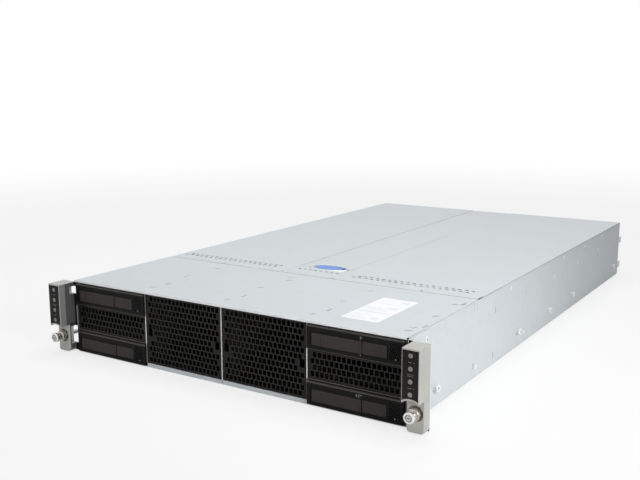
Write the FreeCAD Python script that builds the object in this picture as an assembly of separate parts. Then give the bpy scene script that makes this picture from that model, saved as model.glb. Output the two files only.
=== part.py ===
import FreeCAD, Part
import math
import os
from FreeCAD import Vector

# Two-unit rack server: four half-width compute modules and two power supplies slide in from
# the rear, four drive carriers slide in from the front.
# X points right as seen from the front, Y points to the rear, Z points up, in millimetres.
# The origin is the middle of the underside.

# Chassis box
body_width = 438.0
body_height = 87.0
body_length = 771.0
sheet = 1.2
bend_radius = 2.0
running_gap = 0.3       # between a sliding piece and what carries it
side_gap = 0.5          # beside a sliding piece
seam_depth = 165.0      # front edge to the seam between the fixed panel and the cover
seam_gap = 0.8
hem_height = 2.2
floor_lip_height = 4.5

# Cover
flange_depth = 9.0
flange_sheet = 1.0
swage_depth = 0.5
swage_half_width = 37.0
swage_start = 35.0      # from the seam
swage_slope = 3.0
notch_width = 2.0
notch_length = 8.0
vent_side = 4.4
vent_edge = 11.0        # last side vent from the cover's edge
vent_count = 11
vent_first = 52.0       # first side vent from the centre line
vent_set_back = 26.0    # vent row from the seam
middle_vent_count = 3

# Cover latch
latch_half_length = 23.0
latch_half_width = 11.0
latch_set_back = 52.0     # from the cover's front edge
latch_rim = 2.0
latch_flange = 1.0
latch_proud = 0.4
latch_gap = 0.6
latch_facets = 20

# Drive cage
cage_sheet = 1.0
cage_depth = 164.0
carrier_height = 25.2
cage_window_length = 90.0
cage_window_height = 12.0

# Perforated front panels
grille_sheet = 1.2
grille_return = 9.0
grille_setback = 0.6
grille_border = 4.5
grille_columns = 7
grille_rows = 6
blank_rows = 3
blank_columns = 7
web_width = 3.0

# Drive carriers
bezel_proud = 2.0
bezel_depth = 12.0
bezel_chamfer = 2.5
rail_sheet = 2.5
rail_height = 21.0
rail_length = 146.0
cross_strip = 10.0
strip_sheet = 1.0
bar_offset_x = 5.0
bar_offset_z = 4.1
bar_length = 84.5
bar_height = 12.5
bar_thickness = 5.0
bar_proud = 1.0
bar_wall = 1.3
lever_length = 57.3
bar_split = 0.6
pocket_gap = 0.4
pocket_depth = 9.0
lever_pin_radius = 1.0
pin_clearance = 0.05
lever_bore_radius = 1.3
release_travel = 2.0
release_inset = 0.7
release_stem = 5.0
drive_width = 101.6
drive_height = 20.0
drive_length = 147.0
drive_start = 13.0
drive_gap = 0.35        # between the drive and a rail
drive_chamfer = 1.5
drive_lid_inset = 8.0
drive_lid_depth = 1.0

# Ears
ear_reach = 22.3        # makes the 482.6 mm width of a rack panel
ear_width = 18.0
ear_top_inset = 2.8
ear_bottom = 0.8
ear_proud = 21.5
pad_proud = 10.0
pad_height = 31.0
ear_corner = 1.8
flange_setback = 1.0    # face of the bracket flange, behind the chassis front
bracket_sheet = 1.5
bracket_leaf = 48.0
bracket_window_low = 9.0
bracket_window_long = 21.0
bracket_window_short = 9.0
bracket_window_top_inset = 5.2
rack_screw_inset = 8.75     # makes the 465.1 mm hole spacing of a rack
rack_screw_z = 20.0
scoop_radius = 7.7
scoop_depth = 3.0
arch_radius = 15.5

# Button panel
panel_border = 0.9
panel_sheet = 1.2
panel_top_inset = 1.6
panel_seat = 1.2
panel_arch = 17.3
button_count = 4
button_radius = 2.7
button_facets = 8
button_top_inset = 5.0
button_arch_gap = 4.0
button_gap = 0.25
button_flange = 0.8
button_flange_sheet = 1.0
button_proud = 0.5
button_travel = 1.0

# Captive rack screws
knob_face_proud = 24.5
knob_radius = 4.8
collar_radius = 6.2
collar_length = 6.5
knob_facets = 10
neck_radius = 2.1
thread_radius = 2.5
thread_length = 8.3
screw_bore_radius = 2.7
slot_width = 1.2
slot_depth = 1.4

# Rail studs and screws
stud_places = (58.0, 289.0, 406.0, 508.0)    # from the front edge
rear_stud_inset = 41.0
stud_height = 20.8
stud_neck_half = 2.4
stud_neck = 3.6
stud_head_radius = 4.0
stud_head = 1.8
screw_head_radius = 3.0
screw_head = 0.8
bracket_screw_place = 36.0
bracket_screw_inset = 8.0

# Side wall slits
slit_places = ((155.0, 14.5), (213.0, 11.8), (216.0, 63.5), (316.0, 63.0))
slit_width = 1.6
slit_height = 7.0

# Power supplies
supply_width = 73.5
supply_headroom = 1.25
supply_length = 265.0
inlet_width = 28.0
inlet_height = 20.0
inlet_depth = 18.0
inlet_offset = 4.0
fan_radius = 17.0
fan_recess = 16.0
fan_hub_radius = 7.5
fan_inset = 2.0
fan_offset = 2.4
supply_handle_reach = 22.0
supply_handle_bar = 3.0
supply_handle_edge = 5.0
supply_handle_gap = 1.5      # between the inlet and the handle
supply_handle_span = 30.0
tongue_width = 50.0
tongue_length = 8.0
tongue_sheet = 1.6

# Power distribution boards
board_sheet = 1.6
board_standoff = 6.0
standoff_radius = 3.0
pdb_length = 120.0
pdb_margin = 3.0
socket_length = 12.0
socket_height = 10.0
socket_wall = 4.0
socket_gap = 0.4
bus_bar_count = 4
bus_bar_width = 6.0
bus_bar_height = 8.0

# Bay walls and shelves
bay_wall = 1.0
bay_start = 186.0       # from the front edge
shelf_sheet = 1.0
shelf_set_back = 4.0

# Compute modules
module_setback = 25.0   # behind the front end of the bay walls
module_headroom = 2.8
tray_sheet = 1.0
module_fan_gap = 24.0   # between the fans and the board
module_board_standoff = 4.5
port_spans = ((6.0, 34.0), (39.0, 54.0), (59.0, 91.0))   # network, USB and display ports
port_height = 15.0
port_base = 6.5
slot_cover_start = 97.0
slot_cover_edge = 17.25     # from the module's right side
slot_cover_height = 12.0
slot_cover_base = 23.5
exhaust_columns = 4
exhaust_height = 11.0
exhaust_web = 3.0
exhaust_inset = 2.0
module_handle_reach = 38.0
module_handle_span = 40.0
module_handle_height = 10.0
module_handle_bar = 3.0
module_handle_base = 5.0
module_handle_edge = 1.0
heatsink_side = 90.0
heatsink_base = 4.0
heatsink_fins = 4
heatsink_fin = 3.0
socket_block_height = 5.0
processor_count = 2
port_depth = 22.0
memory_length = 133.0
memory_thickness = 3.0
memory_pitch = 16.0
memory_per_side = 2
memory_gap = 6.0
fan_length = 56.0
module_fan_radius = 17.5
module_fan_hub = 7.0
module_fan_count = 3
fan_faces = 6
barrel_faces = 8

# Release latches of the modules and power supplies
latch_arm = 20.0
latch_tab = 7.0
latch_sheet = 2.0
latch_height = 9.0
latch_pin_radius = 1.0
latch_barrel_radius = 2.2
latch_ear_sheet = 1.5
latch_ear_gap = 0.3
latch_swing_room = 9.0

# Backplane
backplane_margin = 4.0
connector_width = 42.0
connector_height = 8.0
connector_gap = 0.3
backplane_window_margin = 14.0

# Places worked out from the sizes above
front = -body_length / 2
rear = body_length / 2
half = body_width / 2
wall = half - sheet
roof = body_height - sheet
wall_top = roof - running_gap
seam = front + seam_depth
cover_front = seam + seam_gap
swage_roof = roof - swage_depth
cage_wall = wall - cage_sheet
opening_top = body_height - hem_height
low_bay = sheet + running_gap
low_shelf = low_bay + carrier_height + running_gap
blank_bottom = low_shelf + cage_sheet
high_bay = opening_top - running_gap - carrier_height
high_shelf = high_bay - running_gap - cage_sheet
carrier_width = drive_width + 2 * (rail_sheet + drive_gap)
divider_pitch = cage_wall - carrier_width - cage_sheet / 2 - 2 * side_gap
carrier_left = {
    "left": -cage_wall + side_gap,
    "right": divider_pitch + cage_sheet / 2 + side_gap,
}
carrier_base = {"bottom": low_bay, "top": high_bay}
bezel_front = front - bezel_proud
flange_front = front + flange_setback
flange_back = flange_front + bracket_sheet
ear_front = front - ear_proud
pad_front = front - pad_proud
ear_outer = half + ear_reach
ear_inner = ear_outer - ear_width
ear_top = body_height - ear_top_inset
panel_top = ear_top - panel_top_inset
rack_screw_x = ear_outer - rack_screw_inset
button_high = panel_top - button_top_inset
button_low = rack_screw_z + panel_arch + button_arch_gap
bay_y = front + bay_start
divider_inner = supply_width / 2 + side_gap
divider_outer = divider_inner + bay_wall
flange_inner = wall - running_gap - flange_sheet
module_inner = divider_outer + side_gap
module_outer = flange_inner - side_gap
module_width = module_outer - module_inner
level_height = (swage_roof - sheet - shelf_sheet) / 2
shelf_bottom = sheet + level_height
shelf_top = shelf_bottom + shelf_sheet
level_base = {"lower": sheet + running_gap, "upper": shelf_top + running_gap}
module_height = level_height - 3 * running_gap
supply_height = level_height - running_gap - supply_headroom
supply_front = rear - supply_length
module_front = bay_y + module_setback
fan_side = module_height - tray_sheet - 2 * running_gap - tray_sheet
latch_y = cover_front + latch_set_back
vent_pitch = (half - vent_edge - vent_first) / (vent_count - 1)

sides = {"left": -1, "right": 1}


def block(x, y, z):
    """Box between two corners, each given as low and high per axis, in any order."""
    low = Vector(min(x), min(y), min(z))
    return Part.makeBox(abs(x[1] - x[0]), abs(y[1] - y[0]), abs(z[1] - z[0]), low)


def edges_along(box, axis):
    return [e for e in box.Edges if abs(e.tangentAt(e.FirstParameter).dot(axis)) > 0.9]


def rounded(x, y, z, axis, radius):
    """Box whose four edges along one axis are rounded."""
    box = block(x, y, z)
    return box.makeFillet(radius, edges_along(box, axis))


def bevelled(x, y, z, axis, width):
    """Box whose four edges along one axis are bevelled."""
    box = block(x, y, z)
    return box.makeChamfer(width, edges_along(box, axis))


def rod(start, axis, radius, length):
    return Part.makeCylinder(radius, length, start, axis)


def prism(points, sweep):
    """Closed outline swept in a straight line."""
    return Part.Face(Part.makePolygon(points + [points[0]])).extrude(sweep)


def faceted_rod(start, sweep, radius, faces):
    """Regular prism that follows sweep, which is square to X."""
    side = Vector(1, 0, 0)
    up = side.cross(sweep).normalize()
    turn = 2 * math.pi / faces
    corners = [
        start + side * (radius * math.cos(turn * (i + 0.5))) + up * (radius * math.sin(turn * (i + 0.5)))
        for i in range(faces)
    ]
    return prism(corners, sweep)


def oval_prism(margin, low, high):
    """Oval block for the cover latch, wider by a margin all round."""
    turn = 2 * math.pi / latch_facets
    points = [
        Vector(
            (latch_half_length + margin) * math.cos(i * turn),
            latch_y + (latch_half_width + margin) * math.sin(i * turn),
            low)
        for i in range(latch_facets)
    ]
    return prism(points, Vector(0, 0, high - low))


def join(shapes):
    return shapes[0].fuse(shapes[1:]).removeSplitter()


def mirrored(shape, side):
    """The shape as drawn for the right side, or its mirror image for the left side."""
    if side == "right":
        return shape
    return shape.mirror(Vector(0, 0, 0), Vector(1, 0, 0))


def save(name, solids):
    shape = solids[0] if len(solids) == 1 else Part.makeCompound(solids)
    shape.exportStep(os.path.join("parts", name + ".step"))


def hole_grid(x, z, columns, rows, y_front, y_back):
    """Staggered rows of upright holes that fill a panel's field and leave even webs."""
    pitch_x = (x[1] - x[0] + web_width) / (columns + 0.5)
    pitch_z = (z[1] - z[0] + web_width) / rows
    holes = []
    for row in range(rows):
        shift = pitch_x / 2 if row % 2 else 0
        bottom = z[0] + row * pitch_z
        for column in range(columns):
            left = x[0] + shift + column * pitch_x
            right = left + pitch_x - web_width
            holes.append(block((left, right), (y_front, y_back), (bottom, bottom + pitch_z - web_width)))
    return holes


# Chassis

def chassis_tray():
    inner_bend = max(bend_radius - sheet, running_gap)
    outer = rounded((-half, half), (front, rear), (0, 2 * body_height), Vector(0, 1, 0), bend_radius)
    inner = rounded((-wall, wall), (front, rear), (sheet, 2 * body_height), Vector(0, 1, 0), inner_bend)
    tray = outer.cut(inner)
    tray = tray.cut(block((-half, half), (front, rear), (roof, 2 * body_height)))
    tray = tray.cut(block((-half, half), (seam, rear), (wall_top, roof)))
    lips = [
        block(
            (sign * cage_sheet / 2, sign * (divider_pitch - cage_sheet / 2)),
            (front, front + sheet), (sheet, floor_lip_height))
        for sign in sides.values()
    ]
    slits = []
    for place, height in slit_places:
        for sign in sides.values():
            y = front + place
            z = (height - slit_height / 2, height + slit_height / 2)
            slits.append(block((sign * (wall - 1), sign * (half + 1)), (y, y + slit_width), z))
    return join([tray] + lips).cut(slits)


def front_top_panel():
    plate = block((-half, half), (front, seam), (roof, body_height))
    hem = block((-half, half), (front - sheet, front), (body_height - hem_height, body_height))
    return join([plate, hem])


def top_cover():
    """Swaged plate with vents, and the guide strips welded under its two sides."""
    plate = block((-half, half), (cover_front, rear), (roof, body_height))
    flanges = [
        block(
            (sign * flange_inner, sign * (wall - running_gap)),
            (cover_front + notch_length, rear),
            (roof - flange_depth, roof),
        )
        for sign in sides.values()
    ]
    swage_y = seam + swage_start
    run = Vector(0, rear - swage_y, 0)
    wide = swage_half_width + swage_slope

    def band(top):
        return prism(
            [
                Vector(-wide, swage_y, top),
                Vector(wide, swage_y, top),
                Vector(swage_half_width, swage_y, top - swage_depth),
                Vector(-swage_half_width, swage_y, top - swage_depth),
            ],
            run,
        )

    cover = join([plate, band(roof)])
    holes = [band(body_height), oval_prism(latch_gap, swage_roof, body_height)]
    for sign in sides.values():
        holes.append(block(
            (sign * (half - notch_width), sign * half),
            (cover_front, cover_front + notch_length),
            (roof, body_height)))
    vent_y = seam + vent_set_back
    vents = [sign * (vent_first + i * vent_pitch) for sign in sides.values() for i in range(vent_count)]
    vents += [(i - (middle_vent_count - 1) / 2) * vent_pitch for i in range(middle_vent_count)]
    for x in vents:
        holes.append(block(
            (x - vent_side / 2, x + vent_side / 2),
            (vent_y, vent_y + vent_side),
            (roof, body_height)))
    return [cover.cut(holes)] + flanges


def cover_latch():
    """Oval touch pad that hangs in the cover's oval hole by a rim below the sheet."""
    under = swage_roof - running_gap
    pad = oval_prism(0, under, body_height - swage_depth + latch_proud)
    rim = oval_prism(latch_rim, under - latch_flange, under)
    return join([pad, rim])


# Drive cage and perforated panels

def drive_cage():
    back = front + cage_depth
    pieces = []
    for x in (-divider_pitch, 0, divider_pitch):
        pieces.append(block((x - cage_sheet / 2, x + cage_sheet / 2), (front, back), (sheet, roof)))
    for sign in sides.values():
        pieces.append(block((sign * cage_wall, sign * wall), (front, back), (bend_radius, roof)))
        for z in (low_shelf, high_shelf):
            pieces.append(block(
                (sign * divider_pitch, sign * cage_wall), (front, back), (z, z + cage_sheet)))
    tie = block((-divider_pitch, divider_pitch), (back - cross_strip, back), (roof - cage_sheet, roof))
    windows = []
    middle = front + cage_depth / 2
    for z in (low_bay + carrier_height / 2, high_bay + carrier_height / 2):
        windows.append(block(
            (-wall + cage_sheet / 2 + side_gap + cage_sheet, wall - cage_sheet - side_gap),
            (middle - cage_window_length / 2, middle + cage_window_length / 2),
            (z - cage_window_height / 2, z + cage_window_height / 2)))
    return join(pieces + [tie]).cut(windows)


def perforated_panel(x, z, columns, rows):
    """Folded panel: perforated face, four returns and a clip hole near each side."""
    y = front + grille_setback
    shell = block(x, (y, y + grille_return), z)
    hollow = block(
        (x[0] + grille_sheet, x[1] - grille_sheet),
        (y + grille_sheet, y + grille_return),
        (z[0] + grille_sheet, z[1] - grille_sheet))
    field_x = (x[0] + grille_border, x[1] - grille_border)
    field_z = (z[0] + grille_border, z[1] - grille_border)
    holes = hole_grid(field_x, field_z, columns, rows, y, y + grille_sheet)
    return shell.cut(hollow).cut(holes)


def centre_grille(side):
    inner = cage_sheet / 2
    outer = divider_pitch - cage_sheet / 2
    z = (floor_lip_height + running_gap, opening_top)
    return mirrored(perforated_panel((inner, outer), z, grille_columns, grille_rows), side)


def blank_grille(side):
    x = (divider_pitch + cage_sheet / 2, cage_wall)
    z = (blank_bottom, high_shelf)
    return mirrored(perforated_panel(x, z, blank_columns, blank_rows), side)


# Drive carriers

def carrier_frame(left, base):
    right = left + carrier_width
    top = base + carrier_height
    bezel_back = bezel_front + bezel_depth
    chamfered = [
        Vector(left, bezel_front, base),
        Vector(left, bezel_back, base),
        Vector(left, bezel_back, top),
        Vector(left, bezel_front + bezel_chamfer, top),
        Vector(left, bezel_front, top - bezel_chamfer),
    ]
    bezel = prism(chamfered, Vector(carrier_width, 0, 0))
    bar_x = left + bar_offset_x
    bar_z = base + bar_offset_z
    pocket = block(
        (bar_x - bar_split, bar_x + bar_length + bar_split),
        (bezel_front, bezel_front + pocket_depth),
        (bar_z - pocket_gap, bar_z + bar_height + pocket_gap))
    rail_back = bezel_back + rail_length
    rails = [
        block((left, left + rail_sheet), (bezel_back, rail_back), (base, base + rail_height)),
        block((right - rail_sheet, right), (bezel_back, rail_back), (base, base + rail_height)),
    ]
    strips = [
        block((left, right), (y, y + cross_strip), (base, base + strip_sheet))
        for y in (bezel_back, rail_back - cross_strip)
    ]
    pin = faceted_rod(
        Vector(bar_x + bar_thickness / 2, lever_pivot_y(), bar_z - pocket_gap),
        Vector(0, 0, bar_height + 2 * pocket_gap), lever_pin_radius, barrel_faces)
    return join([bezel.cut(pocket)] + rails + strips + [pin])


def lever_pivot_y():
    return bezel_front - bar_proud + bar_thickness / 2


def carrier_lever(left, base):
    """Bar with a rounded hinge end, hollow behind, that turns on the frame's pin."""
    x = left + bar_offset_x + bar_thickness / 2
    y = lever_pivot_y()
    z = base + bar_offset_z
    radius = bar_thickness / 2
    barrel = rod(Vector(x, y, z), Vector(0, 0, 1), radius, bar_height)
    bar = block((x, x + lever_length - radius), (y - radius, y + radius), (z, z + bar_height))
    hollow = block(
        (x + 2 * radius, x + lever_length - radius - bar_wall),
        (y - radius + bar_wall, y + radius),
        (z + bar_wall, z + bar_height - bar_wall))
    bore = faceted_rod(Vector(x, y, z), Vector(0, 0, bar_height), lever_bore_radius, barrel_faces)
    return join([barrel, bar]).cut(hollow).cut(bore)


def carrier_release(left, base):
    """Push button at the free end of the lever, guided by a stem in the bezel pocket."""
    x0 = left + bar_offset_x + lever_length + bar_split
    x1 = left + bar_offset_x + bar_length
    y0 = bezel_front - bar_proud + release_inset
    y1 = y0 + bar_thickness
    z0 = base + bar_offset_z
    cap = block((x0, x1), (y0, y1), (z0, z0 + bar_height))
    middle = (x0 + x1) / 2
    stem = block(
        (middle - release_stem, middle + release_stem),
        (y1, bezel_front + pocket_depth - release_travel - running_gap),
        (z0 + bar_wall, z0 + bar_height - bar_wall))
    return join([cap, stem])


def hard_drive(left, base):
    """Low 3.5 inch drive on the carrier's strips, with its raised lid and board recess."""
    x0 = left + (carrier_width - drive_width) / 2
    x1 = x0 + drive_width
    y0 = bezel_front + drive_start
    y1 = y0 + drive_length
    z0 = base + strip_sheet
    body = bevelled((x0, x1), (y0, y1), (z0, z0 + drive_height), Vector(0, 0, 1), drive_chamfer)
    rim = block((x0, x1), (y0, y1), (z0 + drive_height - drive_lid_depth, z0 + drive_height))
    lid = block(
        (x0 + drive_lid_inset / 2, x1 - drive_lid_inset / 2),
        (y0 + drive_lid_inset / 2, y1 - drive_lid_inset),
        (z0 + drive_height - drive_lid_depth, z0 + drive_height))
    return body.cut(rim.cut(lid))


def drive_backplane():
    """Upright board behind the cage, with one connector per carrier and air windows."""
    y = front + cage_depth
    edge = flange_inner - running_gap
    board = block((-edge, edge), (y, y + board_sheet), (sheet, opening_top))
    windows = []
    for x0, x1 in ((-divider_pitch, 0), (0, divider_pitch)):
        windows.append(block(
            (x0 + backplane_window_margin, x1 - backplane_window_margin),
            (y, y + board_sheet),
            (sheet + backplane_window_margin, opening_top - backplane_window_margin)))
    for sign in sides.values():
        windows.append(block(
            (sign * (divider_pitch + backplane_window_margin), sign * (edge - backplane_window_margin)),
            (y, y + board_sheet),
            (blank_bottom + backplane_margin, high_shelf - backplane_margin)))
    connectors = []
    drive_back = bezel_front + drive_start + drive_length
    for left in carrier_left.values():
        for base in carrier_base.values():
            x = left + carrier_width / 2
            z = base + strip_sheet + backplane_margin
            connectors.append(block(
                (x - connector_width / 2, x + connector_width / 2),
                (drive_back + connector_gap, y),
                (z, z + connector_height)))
    return join([board.cut(windows)] + connectors)


# Ears, button panels, buttons and captive screws

def screw_line(y):
    return Vector(rack_screw_x, y, rack_screw_z)


def button_room(y):
    """Opening behind the inlay in which the buttons' rims move."""
    return block(
        (ear_inner + panel_border + panel_seat, ear_outer - panel_border - panel_seat),
        y,
        (button_low - button_radius - button_flange - button_gap, panel_top - panel_seat))


def ear():
    """Hollow control housing above, thin screw pad below, arched round the captive screw."""
    x = (ear_inner, ear_outer)
    depth = (ear_front, flange_front)
    body = bevelled(x, depth, (ear_bottom, ear_top), Vector(0, 1, 0), ear_corner)
    step = block(x, (ear_front, pad_front), (ear_bottom, pad_height))
    arch = rod(screw_line(ear_front), Vector(0, 1, 0), arch_radius, pad_front - ear_front)
    scoop = faceted_rod(screw_line(pad_front), Vector(0, scoop_depth, 0), scoop_radius, 2 * knob_facets)
    bore = faceted_rod(
        screw_line(pad_front), Vector(0, flange_front - pad_front, 0), screw_bore_radius, knob_facets)
    recess = button_panel_outline()
    return body.cut([step, arch, scoop, bore, recess, button_room((ear_front, flange_front))])


def button_panel_outline():
    """Black inlay: a flat strip whose lower edge follows the arch over the screw."""
    strip = block(
        (ear_inner + panel_border, ear_outer - panel_border),
        (ear_front, ear_front + panel_sheet),
        (pad_height, panel_top))
    arch = rod(screw_line(ear_front), Vector(0, 1, 0), panel_arch, panel_sheet)
    return strip.cut(arch)


def button_places():
    x = (ear_inner + ear_outer) / 2
    pitch = (button_high - button_low) / (button_count - 1)
    return [Vector(x, ear_front, button_high - i * pitch) for i in range(button_count)]


def button_panel():
    holes = [
        faceted_rod(place, Vector(0, panel_sheet, 0), button_radius + button_gap, button_facets)
        for place in button_places()
    ]
    return button_panel_outline().cut(holes)


def switch_board():
    """Small board across the housing, one button travel behind the buttons' rims."""
    y = ear_front + panel_sheet + 2 * running_gap + button_flange_sheet + button_travel
    return button_room((y, y + board_sheet))


def button(place):
    """Round cap with a rim behind the panel that keeps it in."""
    out = Vector(0, button_proud, 0)
    depth = Vector(0, panel_sheet + running_gap, 0)
    cap = faceted_rod(place - out, out + depth, button_radius, button_facets)
    rim = faceted_rod(
        place + depth, Vector(0, button_flange_sheet, 0), button_radius + button_flange, button_facets)
    return join([cap, rim])


def captive_screw():
    """Slotted knob with a collar that sits in the pad's scoop, a neck through the ear and a thread."""
    face = front - knob_face_proud
    seat = pad_front + scoop_depth - running_gap
    collar_front = seat - collar_length
    knob = faceted_rod(
        screw_line(face), Vector(0, collar_front - face, 0), knob_radius, knob_facets)
    collar = faceted_rod(
        screw_line(collar_front), Vector(0, collar_length, 0), collar_radius, knob_facets)
    neck = faceted_rod(screw_line(seat), Vector(0, flange_back - seat, 0), neck_radius, knob_facets)
    thread = rod(screw_line(flange_back), Vector(0, 1, 0), thread_radius, thread_length)
    slot = block(
        (rack_screw_x - knob_radius, rack_screw_x + knob_radius),
        (face, face + slot_depth),
        (rack_screw_z - slot_width / 2, rack_screw_z + slot_width / 2))
    return join([knob, collar, neck, thread]).cut(slot)


def ear_bracket():
    """Folded angle: a leaf on the chassis side and a flange behind the ear."""
    leaf = block(
        (half, half + bracket_sheet), (flange_front, front + bracket_leaf), (ear_bottom, ear_top))
    flange = block((half, ear_outer), (flange_front, flange_back), (ear_bottom, ear_top))
    holes = [faceted_rod(
        screw_line(flange_front), Vector(0, bracket_sheet, 0), screw_bore_radius, knob_facets)]
    high = ear_top - bracket_window_top_inset
    windows = (
        (bracket_window_low, bracket_window_low + bracket_window_long),
        (high - bracket_window_short, high),
    )
    for z in windows:
        holes.append(block((half + bracket_sheet, ear_inner), (flange_front, flange_back), z))
    return join([leaf, flange]).cut(holes)


def chassis_fasteners():
    """Shoulder studs that carry the slide rails, and the screws of the ear brackets."""
    solids = []
    for side, sign in sides.items():
        out = Vector(sign, 0, 0)
        for y in [front + place for place in stud_places] + [rear - rear_stud_inset]:
            foot = Vector(sign * half, y, stud_height)
            neck = block(
                (foot.x, foot.x + sign * stud_neck),
                (y - stud_neck_half, y + stud_neck_half),
                (stud_height - stud_neck_half, stud_height + stud_neck_half))
            head = rod(foot + out * stud_neck, out, stud_head_radius, stud_head)
            solids.append(join([neck, head]))
        for height in (ear_bottom + bracket_screw_inset, ear_top - bracket_screw_inset):
            seat = sign * (half + bracket_sheet)
            y = front + bracket_screw_place
            solids.append(block(
                (seat, seat + sign * screw_head),
                (y - screw_head_radius, y + screw_head_radius),
                (height - screw_head_radius, height + screw_head_radius)))
    return solids


# Bay walls and shelves

def bay_dividers():
    """Two upright walls between the module bays and the power supply bay."""
    top = swage_roof - running_gap
    return [
        block((sign * divider_inner, sign * divider_outer), (bay_y, rear), (sheet, top))
        for sign in sides.values()
    ]


def bay_shelves():
    """Shelves under the upper modules and the upper power supply."""
    y = (bay_y, rear - shelf_set_back)
    z = (shelf_bottom, shelf_top)
    spans = [(-wall, -divider_outer), (-divider_inner, divider_inner), (divider_outer, wall)]
    return [block(x, y, z) for x in spans]


# Release latch: an arm on an upright pin between two small ears of a rear panel

def latch_pivot_y(face):
    return face + latch_barrel_radius + latch_ear_gap


def latch_ears(x, face, base):
    pieces = [faceted_rod(
        Vector(x, latch_pivot_y(face), base - latch_ear_gap),
        Vector(0, 0, latch_height + 2 * latch_ear_gap), latch_pin_radius, barrel_faces)]
    for low in (base - latch_ear_gap - latch_ear_sheet, base + latch_height + latch_ear_gap):
        pieces.append(block(
            (x - latch_barrel_radius, x + latch_barrel_radius),
            (face, latch_pivot_y(face) + latch_barrel_radius),
            (low, low + latch_ear_sheet)))
    return pieces


def release_latch(x, face, base, lean):
    """Arm whose finger tab leans to one side; lean is 1 towards +X and -1 towards -X."""
    start = latch_pivot_y(face)
    end = start + latch_arm
    edge = latch_sheet / 2
    outline = [
        Vector(x - lean * edge, start, base),
        Vector(x + lean * edge, start, base),
        Vector(x + lean * edge, end, base),
        Vector(x + lean * (edge + latch_tab), end + latch_tab / 2, base),
        Vector(x + lean * (edge + latch_tab), end + latch_tab / 2 + latch_sheet, base),
        Vector(x - lean * edge, end + latch_sheet, base),
    ]
    arm = prism(outline, Vector(0, 0, latch_height))
    pivot = Vector(x, start, base)
    barrel = faceted_rod(pivot, Vector(0, 0, latch_height), latch_barrel_radius, barrel_faces)
    bore = rod(pivot, Vector(0, 0, 1), latch_pin_radius + pin_clearance, latch_height)
    return join([barrel, arm]).cut(bore)


# Power supplies

def supply_latch_place(base):
    """Pivot line and lower end of the arm, at the supply's right edge."""
    return supply_width / 2 - latch_barrel_radius, base + (supply_height - latch_height) / 2


def supply_tongue_low(base):
    board_top = base - running_gap + board_standoff + board_sheet
    return board_top + (socket_height - tongue_sheet) / 2


def supply_housing(base):
    """Closed case with a mains inlet, a fan mouth, a handle and an edge connector tongue."""
    half_width = supply_width / 2
    middle = base + supply_height / 2
    case = block((-half_width, half_width), (supply_front, rear), (base, base + supply_height))
    inlet_left = -half_width + inlet_offset
    inlet = block(
        (inlet_left, inlet_left + inlet_width),
        (rear - inlet_depth, rear),
        (middle - inlet_height / 2, middle + inlet_height / 2))
    fan_x = half_width - fan_offset - fan_radius
    mouth = faceted_rod(
        Vector(fan_x, rear - fan_recess, middle), Vector(0, fan_recess, 0), fan_radius, 4 * fan_faces)
    hub = faceted_rod(
        Vector(fan_x, rear - fan_recess, middle), Vector(0, fan_recess - fan_inset, 0),
        fan_hub_radius, 2 * fan_faces)
    handle_x = inlet_left + inlet_width + supply_handle_gap
    loop = block(
        (handle_x, handle_x + supply_handle_bar),
        (rear, rear + supply_handle_reach),
        (middle - supply_handle_span / 2, middle + supply_handle_span / 2))
    grip = block(
        (handle_x, handle_x + supply_handle_bar),
        (rear, rear + supply_handle_reach - supply_handle_edge),
        (middle - supply_handle_span / 2 + supply_handle_edge,
         middle + supply_handle_span / 2 - supply_handle_edge))
    low = supply_tongue_low(base)
    tongue = block(
        (-tongue_width / 2, tongue_width / 2),
        (supply_front - tongue_length, supply_front),
        (low, low + tongue_sheet))
    latch_x, latch_base = supply_latch_place(base)
    body = case.cut([inlet, mouth])
    return join([body, hub, loop.cut(grip), tongue] + latch_ears(latch_x, rear, latch_base))


def supply_latch(base):
    latch_x, latch_base = supply_latch_place(base)
    return release_latch(latch_x, rear, latch_base, -1)


def power_distribution_board(floor):
    """Board on four hexagonal standoffs, with a slotted socket and upright bus bars."""
    socket_rear = supply_front - socket_gap
    edge = divider_inner - pdb_margin
    bottom = floor + board_standoff
    top = bottom + board_sheet
    y = (socket_rear - pdb_length, socket_rear)
    board = block((-edge, edge), y, (bottom, top))
    pieces = [board]
    for sign in sides.values():
        for end in (y[0] + 2 * standoff_radius, y[1] - 2 * standoff_radius):
            foot = Vector(sign * (edge - 2 * standoff_radius), end, floor)
            pieces.append(faceted_rod(foot, Vector(0, 0, board_standoff), standoff_radius, 6))
    slot_half = tongue_width / 2 + socket_gap
    socket = block(
        (-slot_half - socket_wall, slot_half + socket_wall),
        (socket_rear - socket_length, socket_rear),
        (top, top + socket_height))
    tongue_low = top + (socket_height - tongue_sheet) / 2
    slot = block(
        (-slot_half, slot_half),
        (supply_front - tongue_length - socket_gap, socket_rear),
        (tongue_low - socket_gap, tongue_low + tongue_sheet + socket_gap))
    pieces.append(socket.cut(slot))
    pitch = 2 * edge / bus_bar_count
    for i in range(bus_bar_count):
        x = -edge + (i + 0.5) * pitch
        pieces.append(block(
            (x - bus_bar_width / 2, x + bus_bar_width / 2),
            (y[0] + socket_length, y[1] - 3 * socket_length),
            (top, top + bus_bar_height)))
    return join(pieces)


# Compute modules

def module_latch_place(left, base):
    """Pivot line and lower end of the arm, beside the handle."""
    handle_left = left + module_width - module_handle_edge - module_handle_span
    return handle_left - latch_swing_room, base + module_handle_base + latch_ear_sheet


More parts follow.
